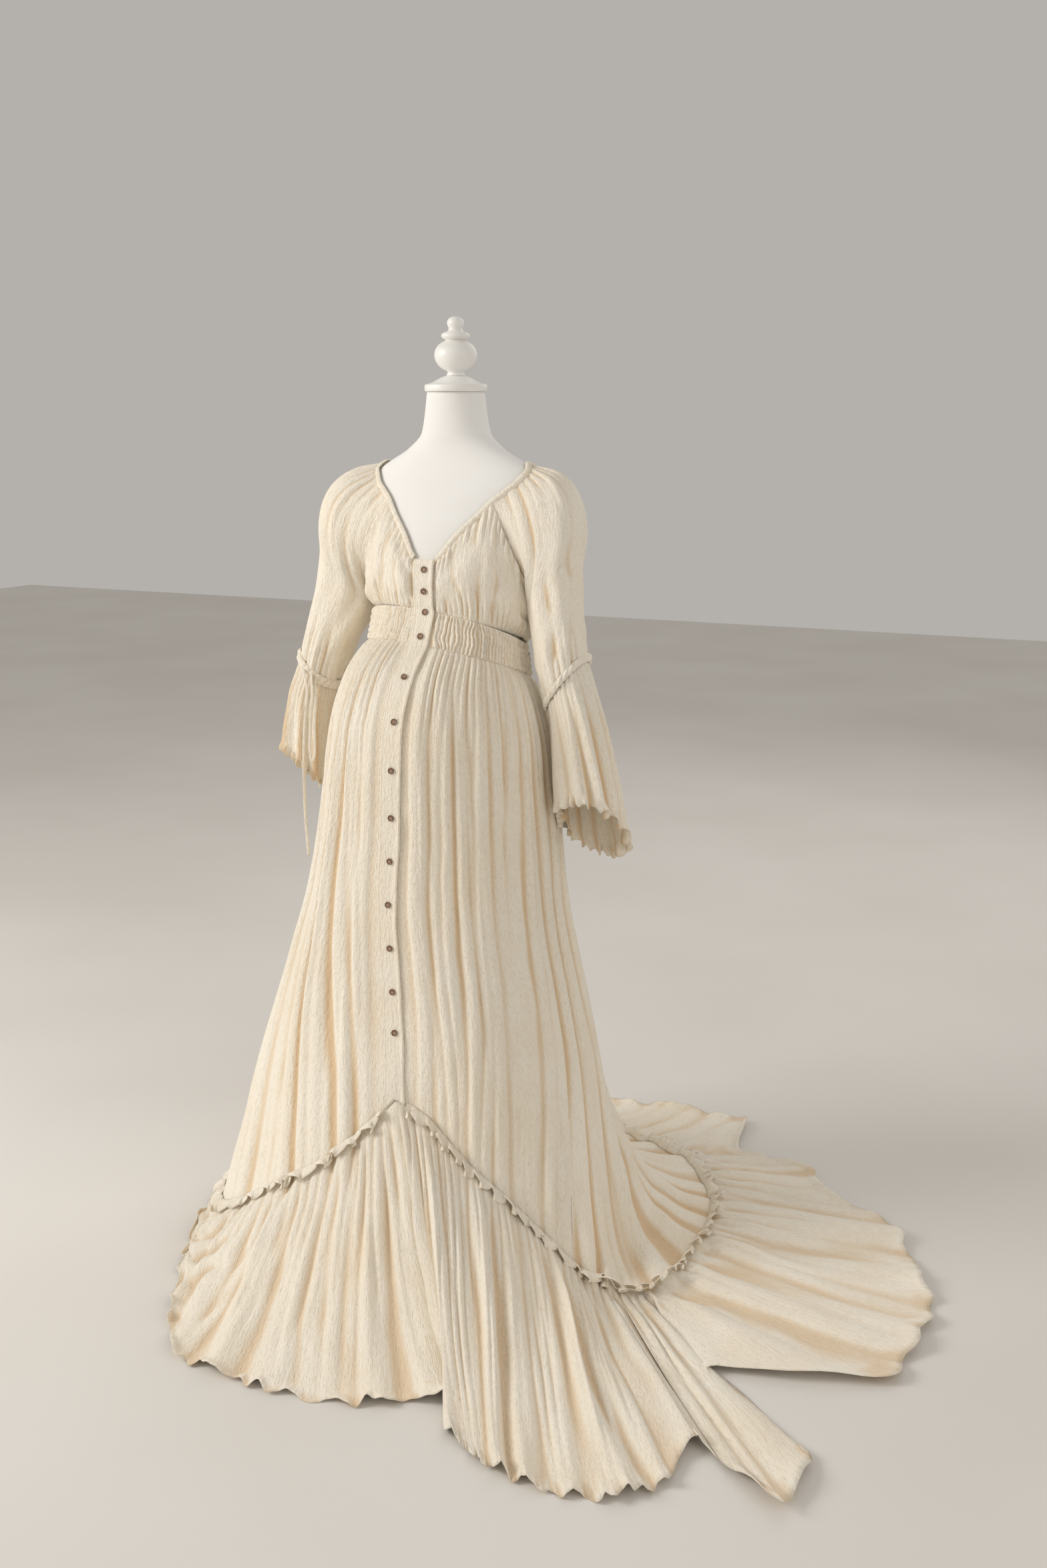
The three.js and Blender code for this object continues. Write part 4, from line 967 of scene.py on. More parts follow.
def grown(name, carrier, tree, values):
    """Runs a geometry node tree on a carrier mesh and keeps what it makes as a plain mesh object."""
    modifier = carrier.modifiers.new(name, "NODES")
    modifier.node_group = tree
    for item in tree.interface.items_tree:
        if item.item_type == "SOCKET" and item.in_out == "INPUT" and item.name in values:
            modifier[item.identifier] = values[item.name]
    bpy.context.view_layer.update()
    depsgraph = bpy.context.evaluated_depsgraph_get()
    mesh = bpy.data.meshes.new_from_object(carrier.evaluated_get(depsgraph), depsgraph=depsgraph)
    bpy.data.objects.remove(carrier)
    mesh.name = name
    mesh.shade_smooth()
    piece = bpy.data.objects.new(name, mesh)
    bpy.context.scene.collection.objects.link(piece)
    return piece


def line_carrier(lines):
    """A mesh of edges only, one chain for each line of points in millimetres."""
    points, edges = [], []
    for line in lines:
        start = len(points)
        points.extend((np.asarray(line) * MM).tolist())
        edges.extend((start + i, start + i + 1) for i in range(len(line) - 1))
    mesh = bpy.data.meshes.new("carrier")
    mesh.from_pydata(points, edges, [])
    carrier = bpy.data.objects.new("carrier", mesh)
    bpy.context.scene.collection.objects.link(carrier)
    return carrier


def belongs(piece, *nodes, slot="cotton_gauze"):
    """Rides on the frame's only body, takes its finish from that slot and stands for those solids."""
    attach(piece, "root")
    if nodes:
        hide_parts(*nodes)
    return piece


# The pieces

def casing_ring(sleeve, turn, w, bulge):
    def ring(a, b):
        return sleeve.ring(sleeve.sign * a, b)
    at = mix(ELBOW_FROM, ELBOW_TO, w)
    return ring(turn, at) + normal_of(ring, turn, at, 0.03, 0.004) * np.asarray(bulge)[..., None]


def tie_exit(degrees):
    """Where a tie leaves the right elbow casing: a point just off the cloth and one further out."""
    turn = np.radians(degrees)

    def casing(a, b):
        return casing_ring(SLEEVES[1], a, b, 2 + 0.8 * np.cos(a * 12))
    point = casing(np.array(turn), np.array(0.5))
    normal = normal_of(casing, np.array(turn), np.array(0.5), 0.02, 0.05)
    return [point + normal * 0.35, point + normal * 7.2]


def flat_cord(name, route, width, thickness, count):
    """A flat tie as a tube with an oval section, and the line that it follows."""
    route = np.array(route, float)[:, None, :]
    line = grain_route(route, np.linspace(0, 1, count))[0]
    tangent = unit(np.gradient(line, axis=0))
    across = unit(np.cross(tangent, np.array((0.28, -0.96, 0.0))))
    normal = unit(np.cross(across, tangent))
    twist = 0.5 * drift(np.linspace(0, 9, count), 0.5, 3)[:, None]
    side = across * np.cos(twist) + normal * np.sin(twist)
    face = unit(np.cross(side, tangent))
    turns = np.linspace(0, 2 * math.pi, 12, endpoint=False)
    rings = [line + side * (width / 2 * math.cos(t)) + face * (thickness / 2 * math.sin(t)) for t in turns]
    points = np.stack(rings, axis=1)
    vertices = np.concatenate([points.reshape(-1, 3), line[:1], line[-1:]])
    n = len(turns)
    faces = [(j * n + i, j * n + (i + 1) % n, (j + 1) * n + (i + 1) % n, (j + 1) * n + i)
             for j in range(count - 1) for i in range(n)]
    faces += [(count * n, (i + 1) % n, i) for i in range(n)]
    faces += [(count * n + 1, (count - 1) * n + i, (count - 1) * n + (i + 1) % n) for i in range(n)]
    piece = mixed_object(name, vertices, faces, gauze())
    uv = piece.data.uv_layers.new(name="thread")
    spots = np.array([(vertices[l.vertex_index][0] * MM * 2, vertices[l.vertex_index][2] * MM)
                      for l in piece.data.loops])
    uv.data.foreach_set("uv", spots.astype(np.float32).ravel())
    outward_faces(piece)
    return piece, (line * MM).tolist()


def outward_faces(piece):
    work = bmesh.new()
    work.from_mesh(piece.data)
    bmesh.ops.recalc_face_normals(work, faces=work.faces)
    work.to_mesh(piece.data)
    work.free()


def make_ties():
    for name, route, far_end in (("tie_end", [*tie_exit(83), *TIE_END], "bare"),
                                 ("tie_loop", [*tie_exit(100), *TIE_LOOP, *tie_exit(112)[::-1]], "object")):
        piece, line = flat_cord("elbow_" + name, route, TIE_WIDTH, TIE_THICKNESS, 90)
        belongs(piece, name)


def make_form():
    """The padded torso with its jersey cover, and the turned parts of the stand."""
    heights = np.unique(np.concatenate([np.linspace(TORSO_BOTTOM, 1330, 56), np.linspace(1330, 1470, 42),
                                        np.linspace(1470, NECK_TOP, 12)]))
    angles = np.linspace(0, 360, 120, endpoint=False)
    z, a = np.meshgrid(heights, angles, indexing="ij")
    points = form_point(a, z)
    across = len(angles)
    faces = [(j * across + i, j * across + (i + 1) % across, (j + 1) * across + (i + 1) % across,
              (j + 1) * across + i)
             for j in range(len(heights) - 1) for i in range(across)]
    middle = [points[0].mean(0), points[-1].mean(0)]
    total = len(heights) * across
    faces += [(total, (i + 1) % across, i) for i in range(across)]
    faces += [(total + 1, total - across + i, total - across + (i + 1) % across) for i in range(across)]
    torso = mixed_object("torso_cover", np.concatenate([points.reshape(-1, 3), middle]), faces, jersey())
    belongs(torso, "form_torso", slot="form_cover")
    c = CAP_RADIUS
    cap = [(0, 0), (c - 1, 0), (c, 0.8), (c + 1, 3), (c + 1, 10), (c + 0.4, 12), (c - 3, 13), (48, 14),
           (40, 17), (33, 21), (27, 24), (22, 26), (20, CAP_HEIGHT), (0, CAP_HEIGHT)]
    belongs(lathe("neck_cap", cap, NECK_TOP + FORM_GAP, paint()), "form_neck_cap", slot="white_wood")
    profile = np.array([(17, 0), (16, 2.5), (14, 7), (18, 9.5), (24, 12), (31, 18), (35, 24), (37.4, 30),
                        (38, 36), (37.4, 42), (35, 48), (31, 53.5), (26, 57), (20, 60.5), (16, 62),
                        (20, 63.5), (24.4, 66), (25.4, 69.5), (24.4, 73), (20, 75.5), (15, 77),
                        (12.4, 80), (12, 83), (14, 86.5), (15, 91), (14.4, 95), (12, 99), (8, 101.6),
                        (4, 102.8)])
    finial = [(0, 0), *profile.tolist(), (0, 103)]
    belongs(lathe("finial", finial, NECK_TOP + CAP_HEIGHT + 2 * FORM_GAP, paint()), "form_finial",
            slot="white_wood")
    length = TORSO_BOTTOM - FOOT_THICKNESS - 2 * FORM_GAP
    pole = [(0, 0), (POLE_RADIUS - 0.6, 0), (POLE_RADIUS, 0.6), (POLE_RADIUS, length - 0.6),
            (POLE_RADIUS - 0.6, length), (0, length)]
    belongs(lathe("pole", pole, FOOT_THICKNESS + FORM_GAP, paint(), 48), "form_pole", slot="white_metal")
    f = FOOT_RADIUS
    foot = [(0, 0.2), (f - 1.5, 0.2), (f, 1.6), (f, FOOT_THICKNESS - 3), (f - 3, FOOT_THICKNESS),
            (0, FOOT_THICKNESS)]
    belongs(lathe("foot", foot, 0, paint()), "form_foot", slot="white_metal")


def bodice_face(panel, columns, rows):
    start, end = PANELS[panel]
    share, v = np.meshgrid(np.linspace(0, 1, columns), np.linspace(0, 1, rows), indexing="ij")
    top_angle, top_z = bodice_edge(panel, share)
    bottom = mix(start, end, share)
    angle = np.clip(mix(top_angle, bottom, v), start, end)
    z = mix(top_z - SEAM_GAP, band_top(bottom) + 2 * SEAM_GAP, v)
    from_front = np.minimum(angle, 360 - angle)
    edge = (smooth(from_front, PLACKET_ANGLE, PLACKET_ANGLE + 4)
            * smooth(share, 0, 0.05) * smooth(1 - share, 0, 0.05))
    count = 2 if panel == "back" else 1
    side = 200 if panel == "back" else 60 + 20 * start
    out = np.abs(share - 0.5) * 2 if panel == "back" else (share if panel == "front_left" else 1 - share)
    wander = 0.5 * drift(share * count * 5 + side, v * 2.2, 3)
    q = share * count * 7 + wander
    main = 4.4 * uneven(np.floor(q) + side) ** 1.5 * fold_shape(q) * smooth(v, -0.1, 0.5)
    neck = 4.6 * gathers(share * count * 21 + wander, v, 0.34, 40 + side) * smooth(v, -0.03, 0.03)
    waist = (3.9 * gathers(share * count * 23 + 0.6 * wander, 1 - v, 0.42, 70 + side)
             * smooth(1 - v, -0.05, 0.03))
    lean = out * 2.6 + v * 1.5 + 0.4 * drift(out * 3 + side, v * 2, 19)
    drape = (7 * fold_shape(lean) * uneven(np.floor(lean) + side + 4)
             * smooth(v, 0.05, 0.3) * smooth(1 - v, 0.1, 0.4))
    pouch = 9 * np.exp(-((out - 0.8) / 0.16) ** 2 - ((v - 0.8) / 0.14) ** 2)
    soft = 2.0 * drift(share * count * 6 + v * 3 + side, v * 3 - share * 3, 13) * smooth(v, 0.1, 0.4)
    closing = mix(0.35, 1, smooth(1 - v, 0, 0.06))
    at_neck = smooth((BACK_NECK if panel == "back" else FRONT_NECK) - out, 0, 0.08) * (1 - smooth(v, 0, 0.12))
    raise_by = edge * (closing * (main + waist + drape + soft + pouch) + neck) - NECK_SINK * at_neck
    return bodice_base(angle, z) + bodice_normal(angle, z) * raise_by[..., None]


def make_bodice():
    for panel, columns in (("front_left", 110), ("back", 180), ("front_right", 110)):
        face = turned_in(bodice_face(panel, columns, 62), ("top", "start", "end"))
        face = turned_in(face, ("bottom",), depth=9)
        # Painted shade in the folds of the bodice
        hollow = np.clip(1.8 * painted_shade_depth(face, grid_normals(face), 3), 0, 1)
        piece = cloth("gathered_bodice_" + panel, face, gauze(), hollow=hollow)
        belongs(piece, "bodice_" + panel)


def make_band():
    """The smocked band: five rows of small upright puckers, parted by lines of elastic."""
    for panel, columns in (("front_left", 190), ("back", 360), ("front_right", 190)):
        start, end = PANELS[panel]
        a, v = np.meshgrid(np.linspace(start, end, columns), np.linspace(0.003, 0.997, 22), indexing="ij")
        phase = (a - PLACKET_ANGLE) / (360 - 2 * PLACKET_ANGLE) * BAND_WAVES
        flat = smooth(phase, 0, 0.4) * smooth(BAND_WAVES - phase, 0, 0.4)
        row = np.floor(v * PUCKER_ROWS)
        between = np.abs(np.sin(math.pi * v * PUCKER_ROWS)) ** 0.6
        pucker_phase = phase * 4.2 + 0.24 * uneven(row + 5) + 0.7 * drift(phase * 1.9, v * 3, 29)
        pucker = wave_shape(pucker_phase) * (0.35 + 0.65 * uneven(np.floor(pucker_phase)))
        out = flat * (0.2 + 1.2 * wave_shape(phase) + mix(2.6, 6.4, between) * pucker)
        shift = 2.2 * drift(phase * 0.7, v * 2, 53) * np.sin(math.pi * v)
        face = band_point(a, v, out)
        face[..., 2] += shift * flat
        face = turned_in(face, ("top", "bottom", "start", "end"))
        # Painted shade in the puckers of the band, made strong
        piece = cloth("shirred_waist_" + panel, face, gauze(),
                      hollow=np.clip(3 * painted_shade_depth(face, grid_normals(face), 3), 0, 1))
        belongs(piece, "smocked_band_" + panel)


def skirt_columns(panel, count):
    start, end = PANELS[panel]
    return np.linspace(start, end, count)


def skirt_face(angles, shares):
    a, v = np.meshgrid(angles, shares, indexing="ij")
    fold = skirt_fold(a, v)
    swag = (7 * np.sin((v - 0.72) * 34 + 1.5 * drift(a / 14, v * 5, 61))
            * smooth(v, 0.7, 0.8) * smooth(1 - v, 0.02, 0.1))
    swag *= smooth(a, 104, 118) * smooth(200 - a, 0, 30)
    return (skirt_base(angles, shares)
            + skirt_normals(angles, shares) * (fold + swag * 0.5 + np.abs(swag) * 0.5)[..., None])


def make_skirt():
    for panel, columns in (("front_left", 184), ("back", 316), ("front_right", 184)):
        angles = skirt_columns(panel, columns)
        shares = np.concatenate([np.linspace(0.0004, 0.12, 17), np.linspace(0.12, 0.9996, 70)[1:]])
        face = turned_in(skirt_face(angles, shares), ("top", "bottom", "start", "end"))
        # Painted shade in the pleats of the skirt
        piece = cloth("gathered_skirt_" + panel, face, gauze(), hollow=painted_shade_depth(face, grid_normals(face), 4))
        belongs(piece, "skirt_" + panel)


def flounce_face(angles, shares):
    a, v = np.meshgrid(angles, shares, indexing="ij")
    phase = skirt_phase(a) * GATHERS_PER_PLEAT
    q = phase * 0.62 + 0.5 * drift(phase * 0.4, v * 2.0, 77) * smooth(v, 0.05, 0.3)
    depth = mix(7, 17, smooth(v, 0, 0.4))
    own = (0.1 + 0.9 * uneven(np.floor(q) + 11) ** 1.5) * depth * wave_shape(q)
    fine_phase = phase * 2.1 + 0.5 * drift(phase * 0.8, v * 3, 83)
    fine = 6.0 * gathers(fine_phase, v, 0.75, 100) * smooth(v, -0.002, 0.07)
    broad = 7 * drift(phase * 0.42, v * 1.6, 87) * smooth(v, 0.1, 0.5)
    creases = 2.6 * drift(phase * 1.9 + v * 2, v * 5 - phase * 0.3, 89) * smooth(v, 0.1, 0.4)
    tail = 7 * np.exp(-((a - 99) / 4) ** 2) * fold_shape((a - 92) / 2.3 + 0.4 * v) * smooth(v, 0.1, 0.4)
    ray_phase = phase * 1.75 + 0.5 * drift(phase * 0.8, v * 2.2, 211)
    rays = 5.6 * uneven(np.floor(ray_phase) + 201) * fold_shape(ray_phase) * smooth(v, 0.05, 0.3)
    rays *= mix(1, np.where((a > 104) & (a < 256), 0.7, 0.25), smooth(v, 0.6, 1))
    leave = smooth(v, 0, 0.15)
    base = flounce_base(a, v)
    v_in = np.clip(v, 0.01, 0.99)
    lying = normal_of(flounce_base, a, v_in, 0.4, 0.01)
    hang = skirt_normals(angles, np.array([0.9996]))
    normal = unit(mix(np.broadcast_to(hang, lying.shape), lying, leave[..., None]))
    seam_fold = skirt_fold(angles[:, None], np.array([[0.9996]]))
    heap = np.exp(-((a - 298) / 15) ** 2 - ((v - 0.5) / 0.34) ** 2)
    heaped = heap * (14 * fold_shape((a - 280) / 9 + v * 3.4 + 0.4 * drift(a / 7, v * 4, 97)) + 6)
    raise_by = mix(seam_fold, own + creases + heaped + tail + rays + np.maximum(broad, -3), leave) + fine
    face = base + normal * raise_by[..., None]
    outward = unit(flounce_base(a, np.ones_like(v)) - flounce_base(a, np.full_like(v, 0.9)))
    scallop = wave_shape(phase * 1.1 + 0.6 * drift(phase, 0.7, 221)) - 0.5
    face += outward * (12 * scallop * smooth(v, 0.8, 1))[..., None]
    curl = smooth(v, 0.93, 1.0)
    face[..., 2] += curl * (8 * wave_shape(phase * 0.8 + 0.8 * drift(phase, 0.3, 101))
                            + 2 * wave_shape(phase * 3.1))
    return face


def make_flounce():
    for panel, columns in (("front_left", 252), ("back", 500), ("front_right", 252)):
        shares = np.concatenate([np.linspace(0.002, 0.9, 40), np.linspace(0.9, 1, 6)[1:]])
        face = turned_in(flounce_face(skirt_columns(panel, columns), shares), ("top",))
        if panel == "front_left":
            face = turned_in(face, ("start",), depth=5)
        elif panel == "front_right":
            face = underlapped(face, "end", UNDERLAP_WIDTH, UNDERLAP_DEPTH)
        # Painted shade in the folds of the flounce, made weaker
        piece = cloth("train_flounce_" + panel, face, gauze(),
                      hollow=0.75 * painted_shade_depth(face, grid_normals(face), 4))
        belongs(piece, "hem_flounce_" + panel)


def curled_edge(base, normal, down, seat, width, curl, pitch, seed):
    """A raw gathered strip that stands out from a line of points and curls like a lettuce leaf."""
    along = unit(np.gradient(base, axis=0))
    travel = np.concatenate([[0], np.cumsum(np.linalg.norm(np.diff(base, axis=0), axis=1))])
    phase = travel / pitch + 0.8 * drift(travel / 60, 0.5, seed)
    own = 0.5 + 0.5 * drift(phase * 0.9, 0.5, seed + 1)
    own = 0.45 + 0.75 * own
    w = np.linspace(0, 1, 8)[None, :, None]
    wave = (np.sin(2 * math.pi * phase) * own)[:, None, None]
    lean = (np.cos(2 * math.pi * phase) * own)[:, None, None]
    tuck = (np.sin(4 * math.pi * phase + 1) * own)[:, None, None]
    out = seat + w * (0.75 * width + 0.3 * width * lean) + 0.2 * width * np.sin(math.pi * w)
    below = -0.35 * width + w * (0.9 * width + curl * wave)
    return (base[:, None] + normal[:, None] * out + down[:, None] * below
            + along[:, None] * (w ** 1.4 * tuck * curl * 0.7))


def make_frills():
    for panel, count in (("front_left", 420), ("back", 900), ("front_right", 420)):
        start, end = PANELS[panel]
        angles = np.linspace(max(start, PLACKET_EDGE), min(end, 360 - PLACKET_EDGE), count)
        face = skirt_face(angles, np.array([0.982, 0.99, 0.9996]))
        normal = grid_normals(face)[:, 2]
        down = unit(face[:, 2] - face[:, 1])
        pad = np.array([np.convolve(np.pad(normal[:, k], 6, mode="edge"), np.ones(13) / 13, "valid")
                        for k in range(3)]).T
        strip = curled_edge(face[:, 2], unit(pad), down, FRILL_SEAT, FRILL_WIDTH, FRILL_CURL, FRILL_PITCH, 7)
        piece = cloth("lettuce_frill_" + panel, strip, gauze(), thickness=1.0)
        belongs(piece, "seam_frill_" + panel)


def sleeve_face(sleeve, columns, rows):
    u, v = np.meshgrid(np.linspace(-1, 1, columns), np.linspace(0.0005, 0.997, rows), indexing="ij")
    base = sleeve.point(u, v)
    for _ in range(14):
        base[:, 1:-1] = (base[:, :-2] + 2 * base[:, 1:-1] + base[:, 2:]) / 4
    inner_u, inner_v = np.clip(u, -0.98, 0.98), np.clip(v, 0.006, 0.994)
    normal = normal_of(sleeve.point, inner_u, inner_v, 0.02, 0.005)
    around = (u + 1) / 2
    flat = smooth(1 - np.abs(u), 0, 0.12)
    q = around * SLEEVE_FOLDS + 0.35 * drift(around * 5, v * 2.6, 110 + sleeve.sign)
    main = mix(1.5, 7, smooth(v, 0, 0.4)) * wave_shape(q) * (0.3 + 0.7 * uneven(np.floor(q) + 3))
    neck = 3.6 * gathers(around * 15, v, 0.4, 120) * smooth(v, -0.02, 0.03)
    elbow = 3.8 * gathers(around * 24, 1 - v, 0.3, 130) * smooth(1 - v, -0.02, 0.02)
    lean = around * 4 - v * 1.4 + 0.5 * drift(around * 4, v * 3, 144 + sleeve.sign)
    drape = 5 * fold_shape(lean) * uneven(np.floor(lean) + 31) ** 1.3 * smooth(v, 0.1, 0.35)
    long_creases = 3.0 * drift(around * 9 + v * 1.5, v * 3, 140 + sleeve.sign) * smooth(v, 0.1, 0.3)
    raise_by = flat * (main + neck + elbow + (long_creases + drape) * smooth(1 - v, 0, 0.15))
    raise_by -= NECK_SINK * flat * (1 - smooth(v, 0, 0.12))
    return base + normal * raise_by[..., None]


def bell_face(sleeve, columns, rows):
    turn, v = np.meshgrid(np.linspace(-math.pi, math.pi, columns, endpoint=False), np.linspace(0, 1, rows),
                          indexing="ij")

    def ring(a, b):
        return sleeve.ring(sleeve.sign * a, b)
    at = mix(BELL_FROM, 2, v)
    normal = normal_of(ring, turn, np.minimum(at, 1.99), 0.03, 0.01)
    phase = turn / (2 * math.pi) * BELL_WAVES
    wave = mix(2, 17, smooth(v, 0, 0.9)) * wave_shape(phase + 0.3 * np.sin(2 * turn + 1) * v)
    wave = wave * (0.35 + 0.65 * uneven(np.mod(np.floor(phase), BELL_WAVES) + 5))
    fine = 2.6 * gathers(np.mod(phase, BELL_WAVES) * 3, v, 0.7, 150)
    face = ring(turn, at) + normal * (wave - 1 + fine)[..., None]
    edge = smooth(v, 0.9, 1)
    count = 24
    curl_phase = (turn / (2 * math.pi)) * count
    own = 0.45 + 0.55 * uneven(np.mod(np.floor(curl_phase), count) + 9)
    face += normal * (edge * own * 8.5 * np.sin(2 * math.pi * curl_phase))[..., None]
    face[..., 2] += edge * own * 6.5 * np.cos(2 * math.pi * curl_phase)
    return face


def make_sleeves():
    for sleeve in SLEEVES:
        face = turned_in(sleeve_face(sleeve, 122, 82), ("top", "bottom", "start", "end"))
        # Painted shade in the folds of the sleeve
        hollow = np.clip(1.6 * painted_shade_depth(face, grid_normals(face), 3), 0, 1)
        piece = cloth("raglan_sleeve_" + sleeve.name, face, gauze(), hollow=hollow)
        belongs(piece, "sleeve_" + sleeve.name)
        bell = bell_face(sleeve, 220, 35)
        if sleeve.sign < 0:
            bell = bell[::-1]
        # Painted shade in the waves of the bell flounce
        flounce = cloth("bell_flounce_" + sleeve.name, bell, gauze(), closed=True,
                        hollow=painted_shade_depth(bell, grid_normals(bell, True), 4, True))
        belongs(flounce, "sleeve_flounce_" + sleeve.name)


def make_casings():
    """The narrow gathered casings of the neckline and the elbows."""
    angle = np.linspace(PLACKET_ANGLE + 0.8, 360 - PLACKET_ANGLE - 0.8, 380)

    def curve(a):
        return bodice_base(a, neck_height(a))
    along = unit(curve(angle + 0.4) - curve(angle - 0.4))
    normal = form_normal(angle, neck_height(angle))
    down = -np.cross(along, normal)
    w = np.linspace(0, 1, 8)[None, :]
    ripple = (0.9 * wave_shape(angle / 2.6) * (0.4 + 0.6 * uneven(np.floor(angle / 2.6))))[:, None]
    inner = 1 - smooth(w, 0, 0.35)
    lift = 1.4 - NECK_SINK - 2.6 * inner + (1.6 + 1.8 * ripple) * np.sin(math.pi * w)
    face = (curve(angle)[:, None] + normal[:, None] * lift[..., None]
            + down[:, None] * (11 * (w - 0.42))[..., None])
    piece = cloth("neck_binding", face, gauze(), thickness=1.4)
    belongs(piece, "neck_casing")
    for sleeve in SLEEVES:
        turn, w = np.meshgrid(np.linspace(-math.pi, math.pi, 180, endpoint=False),
                              np.linspace(-0.4, 1.35, 11), indexing="ij")
        round_off = np.sin(math.pi * (w + 0.4) / 1.75)
        twist = turn * (ELBOW_GATHERS // 2) / math.pi + 0.5 * w
        bulge = (1.5 + 4.6 * np.maximum(round_off, 0) ** 0.6
                 + 3.4 * fold_shape(twist) * (0.3 + 0.7 * uneven(np.mod(np.floor(twist), ELBOW_GATHERS))))
        face = casing_ring(sleeve, turn, w, bulge)
        if sleeve.sign < 0:
            face = face[::-1]
        piece = cloth("elbow_binding_" + sleeve.name, face, gauze(), thickness=1.6, closed=True)
        belongs(piece, "elbow_casing_" + sleeve.name)


@functools.lru_cache
def placket_grid(columns=17):
    """Points of the placket's outer face, x across and rows from the neck to the tier seam."""
    x = np.linspace(-PLACKET_WIDTH / 2, PLACKET_WIDTH / 2, columns)
    parts = []
    for surface, v in ((front_bodice, np.linspace(0, 1, 44)), (band_point, np.linspace(0.05, 0.95, 12)),
                       (front_skirt, np.linspace(0.0004, 0.9996, 150))):
        parts.append(np.stack([placket_base(np.full_like(v, at), surface, v) for at in x]))
    base = np.concatenate(parts, axis=1)
    for _ in range(3):
        soft = (base[:, :-2] + 2 * base[:, 1:-1] + base[:, 2:]) / 4
        base[:, 1:-1] = soft
    normal = grid_normals(base)
    down = np.linspace(0, 1, base.shape[1])[None, :]
    share = (x[:, None] + PLACKET_WIDTH / 2) / PLACKET_WIDTH
    free = smooth(share, 0.72, 1) * (2.2 + 1.8 * drift(down * 26, 0.5, 7)) * smooth(down, 0, 0.03)
    lie = 0.5 * drift(share * 2, down * 24, 9)
    wavy = 1.5 * drift(0.5, down * 22, 15) * smooth(share, 0.6, 1)
    across = unit(np.gradient(base, axis=0))
    return base + normal * (2.6 + free + lie)[..., None] + across * wavy[..., None]


def make_placket():
    face = placket_grid()
    piece = cloth("button_placket", face, gauze(), thickness=1.5)
    belongs(piece, "placket")


def button_spots():
    """The middle, facing and sideways direction of each button on the placket."""
    face = placket_grid()
    normals = grid_normals(face)
    column = np.argmin(np.abs(np.linspace(-PLACKET_WIDTH / 2, PLACKET_WIDTH / 2, face.shape[0])
                              - BUTTON_SHIFT))
    spine = face[column]
    spots = []
    for height in BUTTON_HEIGHTS:
        row = int(np.argmin(np.abs(spine[:, 2] - height)))
        across = unit(face[column + 2, row] - face[column - 2, row])
        spots.append((spine[row], unit(normals[column - 1:column + 2, row - 1:row + 2].mean((0, 1))), across))
    return spots


def button_shape(material):
    """A two-hole button with a raised rim and a dished middle, drawn about the origin."""
    radius, thickness, hole = 5.7, 2.4, 0.75
    profile = [(0, 0), (4.6, 0), (5.4, 0.5), (radius, 1.2), (radius, 1.7), (5.4, 2.3), (4.9, thickness),
               (4.3, 2.2), (3.8, 1.75), (3.2, 1.6), (0, 1.6)]
    disc = lathe("button_blank", profile, 0, material, 40)
    cut = disc.modifiers.new("holes", "BOOLEAN")
    cut.operation, cut.solver = "DIFFERENCE", "EXACT"
    pins = mixed_object("pins", *pin_mesh(hole, (-1.5, 1.5)), material)
    cut.object = pins
    bpy.context.view_layer.update()
    depsgraph = bpy.context.evaluated_depsgraph_get()
    mesh = bpy.data.meshes.new_from_object(disc.evaluated_get(depsgraph), depsgraph=depsgraph)
    bpy.data.objects.remove(disc)
    bpy.data.objects.remove(pins)
    rim = mesh.attributes.new("rim", "FLOAT", "POINT")
    values = [1.0 if math.hypot(v.co.x, v.co.y) > 0.0041 and v.co.z > 0.0012 else 0.0 for v in mesh.vertices]
    rim.data.foreach_set("value", values)
    shape = bpy.data.objects.new("button_shape", mesh)
    bpy.context.scene.collection.objects.link(shape)
    return shape


def pin_mesh(radius, places):
    """Upright pins of 12 sides that are taller than a button."""
    sides, vertices, faces = 12, [], []
    for x in places:
        start = len(vertices)
        for z in (-2, 5):
            vertices += [(x + radius * math.cos(2 * math.pi * i / sides),
                          radius * math.sin(2 * math.pi * i / sides), z)
                         for i in range(sides)]
        faces += [(start + i, start + (i + 1) % sides, start + sides + (i + 1) % sides, start + sides + i)
                  for i in range(sides)]
        faces += [tuple(start + sides - 1 - i for i in range(sides)),
                  tuple(start + sides + i for i in range(sides))]
    return vertices, faces


def spot_carrier(spots):
    mesh = bpy.data.meshes.new("spots")
    mesh.from_pydata([(s[0] * MM).tolist() for s in spots], [], [])
    for name, k in (("facing", 1), ("sideways", 2)):
        attribute = mesh.attributes.new(name, "FLOAT_VECTOR", "POINT")
        attribute.data.foreach_set("vector", np.array([s[k] for s in spots], np.float32).ravel())
    carrier = bpy.data.objects.new("spots", mesh)
    bpy.context.scene.collection.objects.link(carrier)
    return carrier


def make_buttons():
    looks = bpy.context.scene.dress_looks
    shell = material_named("polished_coconut_shell", coconut_shell, "#6B4C36", hex_of(looks.button))
    spots = button_spots()
    shape = button_shape(shell)
    piece = grown("coconut_buttons", spot_carrier(spots), facing_tree("set_on_placket", shell),
                  {"Shape": shape, "Lift": 0.4 * MM})
    bpy.data.objects.remove(shape)
    belongs(piece, *[f"button_{n + 1}" for n in range(len(spots))], slot="coconut_shell")
    bar = mixed_object("thread_bar", *bar_mesh(1.5, 0.5), thread())
    threads = grown("button_threads", spot_carrier(spots), facing_tree("thread_through_buttons", thread()),
                    {"Shape": bar, "Lift": 2.0 * MM})
    bpy.data.objects.remove(bar)
    belongs(threads)


